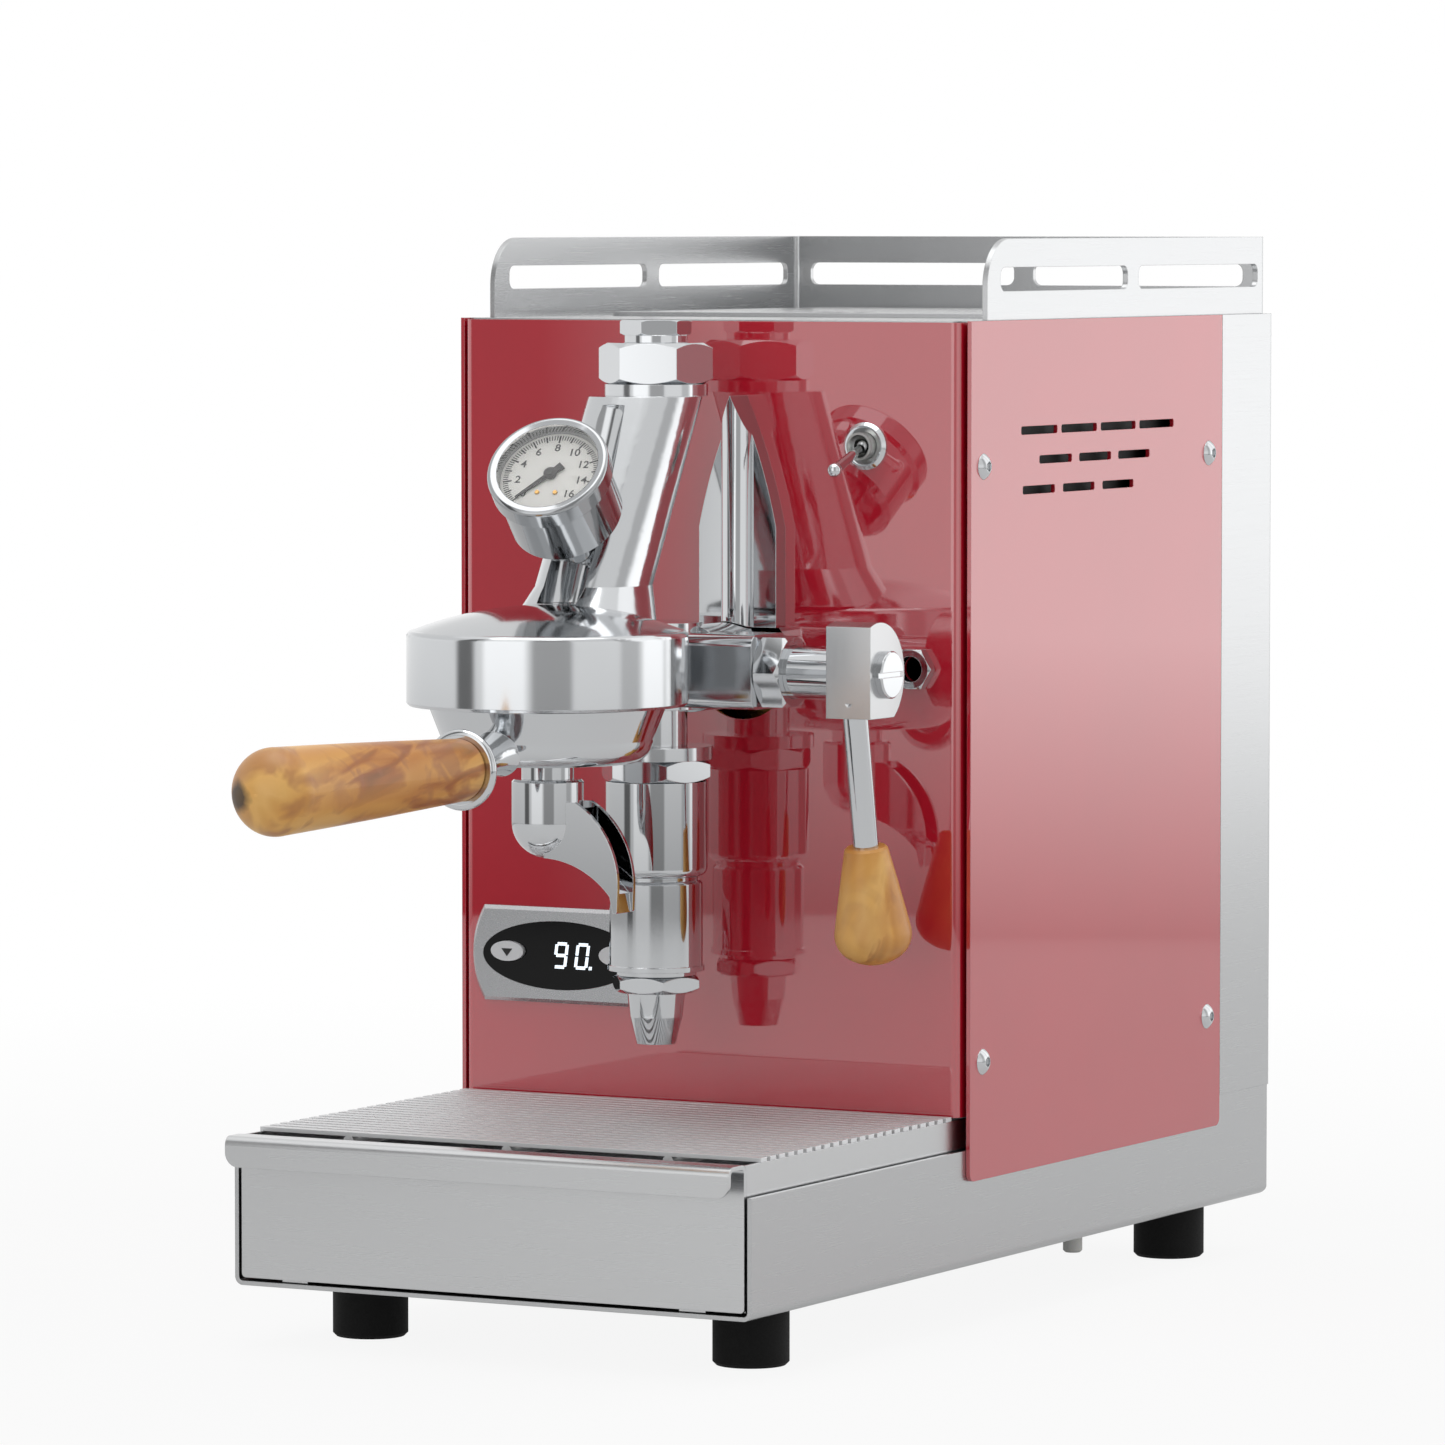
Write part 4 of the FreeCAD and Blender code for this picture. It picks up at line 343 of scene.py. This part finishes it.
# %% From a bmesh to a piece
def piece(name, mesh, body, material):
    """Object from a bmesh, in place, riding on a body."""
    bmesh.ops.remove_doubles(mesh, verts=mesh.verts, dist=0.001 * MM)
    bmesh.ops.recalc_face_normals(mesh, faces=mesh.faces)
    data = bpy.data.meshes.new(name)
    mesh.to_mesh(data)
    mesh.free()
    data.materials.append(material)
    thing = bpy.data.objects.new(name, data)
    bpy.context.scene.collection.objects.link(thing)
    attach(thing, body)
    return thing


def axes(right, up, out, origin):
    """Placement whose X, Y and Z run along three directions from an origin."""
    matrix = Matrix((right, up, out)).transposed().to_4x4()
    matrix.translation = origin
    return matrix


def bar(mesh, place, size, centre, turn=0.0, lean=0.0):
    """Adds a small block: size and centre in millimetres in the placement's plane, turned about its axis."""
    block = bmesh.ops.create_cube(mesh, size=1.0)["verts"]
    shear = Matrix.Identity(4)
    shear[0][1] = lean
    local = Matrix.Translation(Vector(centre) * MM)
    stretch = Matrix.Diagonal((*[s * MM for s in size], 1))
    bmesh.ops.transform(mesh, matrix=place @ shear @ Matrix.Rotation(turn, 4, "Z") @ local @ stretch, verts=block)
    return block


print("piece helper ready")

# %% [markdown]
# ## Print on the gauge's dial
#
# The dial carries a scale from 0 to 16 over three quarters of a turn: a long mark and a number at every
# second step, a short mark at the others and fine marks between. The dial leans back and looks a little to
# the right, so the print is laid out on a flat plane first and then set on the dial by the frame of the
# gauge, whose axis is the axis that the needle turns about.

# %% The gauge's own plane
needle_joint = next(j for j in frame["joints"] if j["name"] == "needle_sweep")
gauge_out = -Vector(needle_joint["axis"]).normalized()
gauge_face = Vector(needle_joint["pos_m"])
gauge_right = Vector((0, 0, 1)).cross(gauge_out).normalized()
gauge_up = gauge_out.cross(gauge_right).normalized()
dial_depth = max((v.co - gauge_face).dot(gauge_out) for v in frame["nodes"]["gauge_dial"].data.vertices)
PRINT_LIFT = 0.06
dial_place = axes(gauge_right, gauge_up, gauge_out, gauge_face + gauge_out * (dial_depth + PRINT_LIFT * MM))
dial_edge = max(((v.co - gauge_face) - gauge_out * (v.co - gauge_face).dot(gauge_out)).length
                for v in frame["nodes"]["gauge_dial"].data.vertices)
print("dial radius", round(dial_edge / MM, 1), "mm, depth behind the bezel", round(-dial_depth / MM, 1), "mm")

# %% Marks of the scale
SCALE_STEPS = 16
SCALE_TURN = math.radians(270)
SCALE_START = math.radians(225)
FINE_MARKS = 5
MARK_MARGIN = 1.0
INK_HEIGHT = 0.08
dial_mm = dial_edge / MM
marks = bmesh.new()
for i in range(SCALE_STEPS * FINE_MARKS + 1):
    angle = SCALE_START - SCALE_TURN * i / (SCALE_STEPS * FINE_MARKS)
    whole = i % FINE_MARKS == 0
    length = 3.0 if i % (2 * FINE_MARKS) == 0 else 2.4 if whole else 1.8
    width = 0.55 if whole else 0.3
    bar(marks, dial_place, (length, width, INK_HEIGHT), (dial_mm - MARK_MARGIN - length / 2, 0, 0), angle)
piece("gauge_marks", marks, "machine", INK)
print("marks:", SCALE_STEPS * FINE_MARKS + 1)

# %% Numbers of the scale
NUMBER_HEIGHT = 3.1
NUMBER_INSET = 6.2
FONT_PER_DIGIT = 1.35
BOLDER = 0.05
for value in range(0, SCALE_STEPS + 1, 2):
    angle = SCALE_START - SCALE_TURN * value / SCALE_STEPS
    curve = bpy.data.curves.new("number", "FONT")
    curve.body = str(value)
    curve.align_x = "CENTER"
    curve.align_y = "CENTER"
    curve.size = NUMBER_HEIGHT * MM * FONT_PER_DIGIT
    curve.extrude = INK_HEIGHT * MM / 2
    curve.offset = BOLDER * MM
    curve.resolution_u = 3
    holder = bpy.data.objects.new("number", curve)
    bpy.context.scene.collection.objects.link(holder)
    bpy.context.view_layer.update()
    flat = bpy.data.meshes.new_from_object(holder.evaluated_get(bpy.context.evaluated_depsgraph_get()))
    bpy.data.objects.remove(holder)
    number = bmesh.new()
    number.from_mesh(flat)
    reach = (dial_mm - NUMBER_INSET) * MM
    spot_on_dial = Matrix.Translation((reach * math.cos(angle), reach * math.sin(angle), 0))
    bmesh.ops.transform(number, matrix=dial_place @ spot_on_dial, verts=number.verts)
    piece(f"gauge_number_{value:02d}", number, "machine", INK)
print("numbers 0 to", SCALE_STEPS)

# %% Two brass screws on the dial
SCREW_RADIUS = 0.9
SCREW_TOP_RADIUS = 0.75
SCREW_HEIGHT = 0.5
SCREW_APART = 3.2
SCREW_DROP = 7.6
for side in (-1, 1):
    screw = bmesh.new()
    bmesh.ops.create_cone(screw, cap_ends=True, segments=20, radius1=SCREW_RADIUS * MM,
                          radius2=SCREW_TOP_RADIUS * MM, depth=SCREW_HEIGHT * MM)
    seat = Matrix.Translation(Vector((side * SCREW_APART, -SCREW_DROP, SCREW_HEIGHT / 2)) * MM)
    bmesh.ops.transform(screw, matrix=dial_place @ seat, verts=screw.verts)
    piece("dial_screw_left" if side < 0 else "dial_screw_right", screw, "machine", BRASS)
print("dial screws: 2")

# %% [markdown]
# ## Digits and arrows on the display
#
# The digits are seven thin bars each, lit from behind and leaning to the right, with a point after the
# second. They are laid as flat bars a hair in front of the lens. The arrows on the two keys are printed
# triangles: a cylinder of three sides is already a triangle.

# %% Lit digits
lens_low, lens_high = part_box("display_lens")
lens_middle = (lens_low + lens_high) / 2
DIGIT_HEIGHT = 9.4
DIGIT_WIDTH = 5.4
BAR = 1.15
LEAN = 0.14
BAR_DEPTH = 0.1
BAR_GAP = 0.5
POINT = 1.2
DIGIT_LIFT = 0.05
DIGIT_RISE = 0.2
SEGMENTS = {"a": (0, 1, 0), "b": (0.5, 0.5, 1), "c": (0.5, -0.5, 1), "d": (0, -1, 0), "e": (-0.5, -0.5, 1),
            "f": (-0.5, 0.5, 1), "g": (0, 0, 0)}
SHOWN = (("nine", "abcdfg", -1.0), ("zero", "abcdef", 7.6))
DIGITS_X = 1.9
for name, lit_bars, offset in SHOWN:
    digit = bmesh.new()
    across = lens_middle.x + (DIGITS_X + offset) * MM
    centre = Vector((across, lens_low.y - DIGIT_LIFT * MM, lens_middle.z + DIGIT_RISE * MM))
    place = axes(Vector((1, 0, 0)), Vector((0, 0, 1)), Vector((0, -1, 0)), centre)
    for letter in lit_bars:
        x, y, upright = SEGMENTS[letter]
        reach = (DIGIT_HEIGHT - BAR) / 2
        spot_mm = (x * (DIGIT_WIDTH - BAR), y * reach, 0)
        level_bar = (DIGIT_WIDTH - BAR - BAR_GAP, BAR, BAR_DEPTH)
        size = (BAR, reach - BAR_GAP, BAR_DEPTH) if upright else level_bar
        bar(digit, place, size, spot_mm, 0.0, LEAN)
    if name == "zero":
        corner = (DIGIT_WIDTH * 0.72, -(DIGIT_HEIGHT - BAR) / 2, 0)
        bar(digit, place, (POINT, POINT, BAR_DEPTH), corner, 0.0, LEAN)
    piece(f"display_{name}", digit, "machine", DIGITS)
print("digits:", len(SHOWN))

# %% Arrows on the keys
ARROW = 2.6
ARROW_DEPTH = 0.1
ARROW_LIFT = 0.04
ARROW_FLATTER = 0.72
for key, point in (("button_down", -1), ("button_up", 1)):
    low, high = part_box(key)
    arrow = bmesh.new()
    bmesh.ops.create_cone(arrow, cap_ends=True, segments=3, radius1=ARROW * MM, radius2=ARROW * MM,
                          depth=ARROW_DEPTH * MM)
    centre = Vector(((low.x + high.x) / 2, low.y - ARROW_LIFT * MM, (low.z + high.z) / 2))
    place = axes(Vector((point, 0, 0)), Vector((0, 0, point)), Vector((0, -1, 0)), centre)
    flat = Matrix.Diagonal((1.0, ARROW_FLATTER, 1.0, 1.0))
    bmesh.ops.transform(arrow, matrix=place @ flat, verts=arrow.verts)
    piece(f"{key}_arrow", arrow, key, INK)
print("arrows: 2")

# %% [markdown]
# ## Floor and light
#
# The picture is a plain studio shot on white. A pale floor takes the soft shadow, and the world shows white
# to the camera, to mirrors and through glass; mirrors see a part of that white on the floor too. Chrome and
# lacquer are drawn by what they mirror, so the machine stands in a round light tent that the camera looks
# through. On the tent's plain wall hang bright and dark panels, each given below by the bearings where it
# starts and ends, in degrees (0 is to the right, -90 is in front), and by its glow. The softbox behind on the
# right whitens the red side, the flag and the softbox in front on the left draw the reflections on the red
# front, and the dark gap behind the camera gives chrome its dark edge. A board above lights the tops.


# %% Studio pieces
def stage_piece(name, mesh, material):
    """Object of the studio from a bmesh."""
    data = bpy.data.meshes.new(name)
    mesh.to_mesh(data)
    mesh.free()
    data.materials.append(material)
    thing = bpy.data.objects.new(name, data)
    bpy.context.scene.collection.objects.link(thing)
    return thing


def glow(name, strength):
    """Material that only glows; its strength is a value, or a function from tree and place to a socket."""
    material, tree, shader, place = finish(name)
    level = strength(tree, place) if callable(strength) else strength
    wire(tree, shader, Base_Color=paint("#000000"), Specular_IOR_Level=0.0, Emission_Color=paint("#FFFFFF"),
         Emission_Strength=level)
    return material


WALL_GLOW = 1.0
SOFT_EDGE = 4
PANELS = {"left_flag": (-134, -122, 0.2), "front_softbox": (-110, -80, 1.5), "camera_gap": (-72, -45, 0.5),
          "right_flag": (0, 14, 0.7), "right_softbox": (22, 44, 1.6), "rear_softbox": (52, 72, 1.65)}
BRIGHTEST = max(panel[2] for panel in PANELS.values())
TENT_RADIUS = 1.6
TENT_HEIGHT = 2.0
FOOT_HEIGHT = 0.16
FOOT_SHARE = 0.4
CROWN_HEIGHTS = (0.5, 0.8)
CROWN_SHARE = 0.85


def tent_strength(tree, place):
    """Glow of the tent's wall: by bearing from the panels, dimmer near the floor and a little near the top."""
    split = add(tree, "ShaderNodeSeparateXYZ", None, Vector=place)
    bearing = add(tree, "ShaderNodeMath", {"operation": "ARCTAN2"}, n0=split.outputs["Y"], n1=split.outputs["X"])
    share = add(tree, "ShaderNodeMapRange", None, Value=bearing.outputs[0], From_Min=-math.pi, From_Max=math.pi)
    around = [(-180, WALL_GLOW), (180, WALL_GLOW)]
    for start, end, level in PANELS.values():
        around += [(start - SOFT_EDGE, WALL_GLOW), (start, level), (end, level), (end + SOFT_EDGE, WALL_GLOW)]
    stops = [((angle + 180) / 360, (level / BRIGHTEST,) * 3 + (1.0,)) for angle, level in sorted(around)]
    panels = add(tree, "ShaderNodeValToRGB", {"stops": stops}, Fac=share.outputs["Result"])
    foot = add(tree, "ShaderNodeMapRange", None, Value=split.outputs["Z"], From_Min=0.0,
               From_Max=FOOT_HEIGHT, To_Min=FOOT_SHARE * BRIGHTEST, To_Max=BRIGHTEST)
    crown = add(tree, "ShaderNodeMapRange", None, Value=split.outputs["Z"], From_Min=CROWN_HEIGHTS[0],
                From_Max=CROWN_HEIGHTS[1], To_Min=1.0, To_Max=CROWN_SHARE)
    wall = add(tree, "ShaderNodeMath", {"operation": "MULTIPLY"}, n0=panels.outputs["Color"],
               n1=foot.outputs["Result"])
    return add(tree, "ShaderNodeMath", {"operation": "MULTIPLY"}, n0=wall.outputs[0],
               n1=crown.outputs["Result"]).outputs[0]


def light_tent():
    mesh = bmesh.new()
    bmesh.ops.create_cone(mesh, cap_ends=False, segments=72, radius1=TENT_RADIUS, radius2=TENT_RADIUS,
                          depth=TENT_HEIGHT, matrix=Matrix.Translation((0, 0, TENT_HEIGHT / 2)))
    tent = stage_piece("light_tent", mesh, glow("light_tent", tent_strength))
    tent.visible_camera = False


def board_above(half, forward, height, strength):
    mesh = bmesh.new()
    bmesh.ops.create_grid(mesh, x_segments=1, y_segments=1, size=half,
                          matrix=Matrix.Translation((0, -forward, height)))
    board = stage_piece("board_above", mesh, glow("board_above", strength))
    board.visible_camera = False


def studio_floor(half, near_share, clear_of, mirror_share):
    """Pale floor with the object's shadow: white for the camera, most of all far out, and less so for mirrors."""
    mesh = bmesh.new()
    bmesh.ops.create_grid(mesh, x_segments=1, y_segments=1, size=half)
    material, tree, shader, place = finish("studio_floor")
    path = add(tree, "ShaderNodeLightPath")
    direct = add(tree, "ShaderNodeMath", {"operation": "MAXIMUM"}, n0=path.outputs["Is Camera Ray"],
                 n1=path.outputs["Is Transmission Ray"])
    seen = add(tree, "ShaderNodeMath", {"operation": "MULTIPLY_ADD"}, n0=path.outputs["Is Glossy Ray"],
               n1=mirror_share, n2=direct.outputs[0])
    away = add(tree, "ShaderNodeVectorMath", {"operation": "LENGTH"}, n0=place)
    white_share = add(tree, "ShaderNodeMapRange", None, Value=away.outputs["Value"], From_Min=clear_of / 3,
                      From_Max=clear_of, To_Min=near_share, To_Max=1.0)
    share = add(tree, "ShaderNodeMath", {"operation": "MULTIPLY"}, n0=seen.outputs[0],
                n1=white_share.outputs["Result"])
    wire(tree, shader, Base_Color=paint("#C4C4C4"), Roughness=1.0, Specular_IOR_Level=0.0)
    white = add(tree, "ShaderNodeEmission", None, Strength=1.0)
    mix = add(tree, "ShaderNodeMixShader", None, n0=share.outputs[0], n1=shader.outputs[0], n2=white.outputs[0])
    wire(tree, tree.nodes["Material Output"], Surface=mix.outputs[0])
    stage_piece("studio_floor", mesh, material)


def studio_world(level):
    """White background for the camera, mirrors and glass, and a softer grey light for everything else."""
    world = bpy.data.worlds.new("studio")
    bpy.context.scene.world = world
    world.use_nodes = True
    tree = world.node_tree
    tree.nodes.clear()
    path = add(tree, "ShaderNodeLightPath")
    clear = add(tree, "ShaderNodeMath", {"operation": "MAXIMUM"}, n0=path.outputs["Is Camera Ray"],
                n1=path.outputs["Is Transmission Ray"])
    seen = add(tree, "ShaderNodeMath", {"operation": "MAXIMUM"}, n0=clear.outputs[0],
               n1=path.outputs["Is Glossy Ray"])
    strength = add(tree, "ShaderNodeMapRange", None, Value=seen.outputs[0], To_Min=level, To_Max=1.0)
    light = add(tree, "ShaderNodeBackground", None, Color=paint("#FFFFFF"), Strength=strength.outputs["Result"])
    add(tree, "ShaderNodeOutputWorld", None, Surface=light.outputs[0])


studio_floor(half=6.0, near_share=0.9, clear_of=1.2, mirror_share=0.4)
studio_world(level=0.45)
light_tent()
board_above(half=0.8, forward=0.3, height=2.1, strength=2.6)
print("studio ready: tent panels", len(PANELS))

# %% [markdown]
# ## Camera
#
# A product shot like this is taken from far away with a long lens, which keeps upright edges nearly parallel.
# The camera stands about 2.8 m off, to the right of the machine and a little above it, and looks slightly
# down. The focal length is given in pixels of the picture, as a camera fit finds it, and turned into
# millimetres here.

# %% Camera
SENSOR = 36.0
IMAGE = 1445
FOCAL_PIXELS = 8139.0
EYE = Vector((1.3651, -2.4709, 0.3863))
AZIMUTH = math.radians(28.578)
PITCH = math.radians(3.59)
lens = bpy.data.cameras.new("photo_camera")
lens.sensor_width = SENSOR
lens.lens = FOCAL_PIXELS / IMAGE * SENSOR
camera = bpy.data.objects.new("photo_camera", lens)
bpy.context.scene.collection.objects.link(camera)
camera.location = EYE
camera.rotation_euler = (math.radians(90) - PITCH, 0, AZIMUTH)
bpy.context.scene.camera = camera
bpy.context.scene.view_settings.view_transform = "Standard"
print("camera lens", round(lens.lens, 1), "mm")
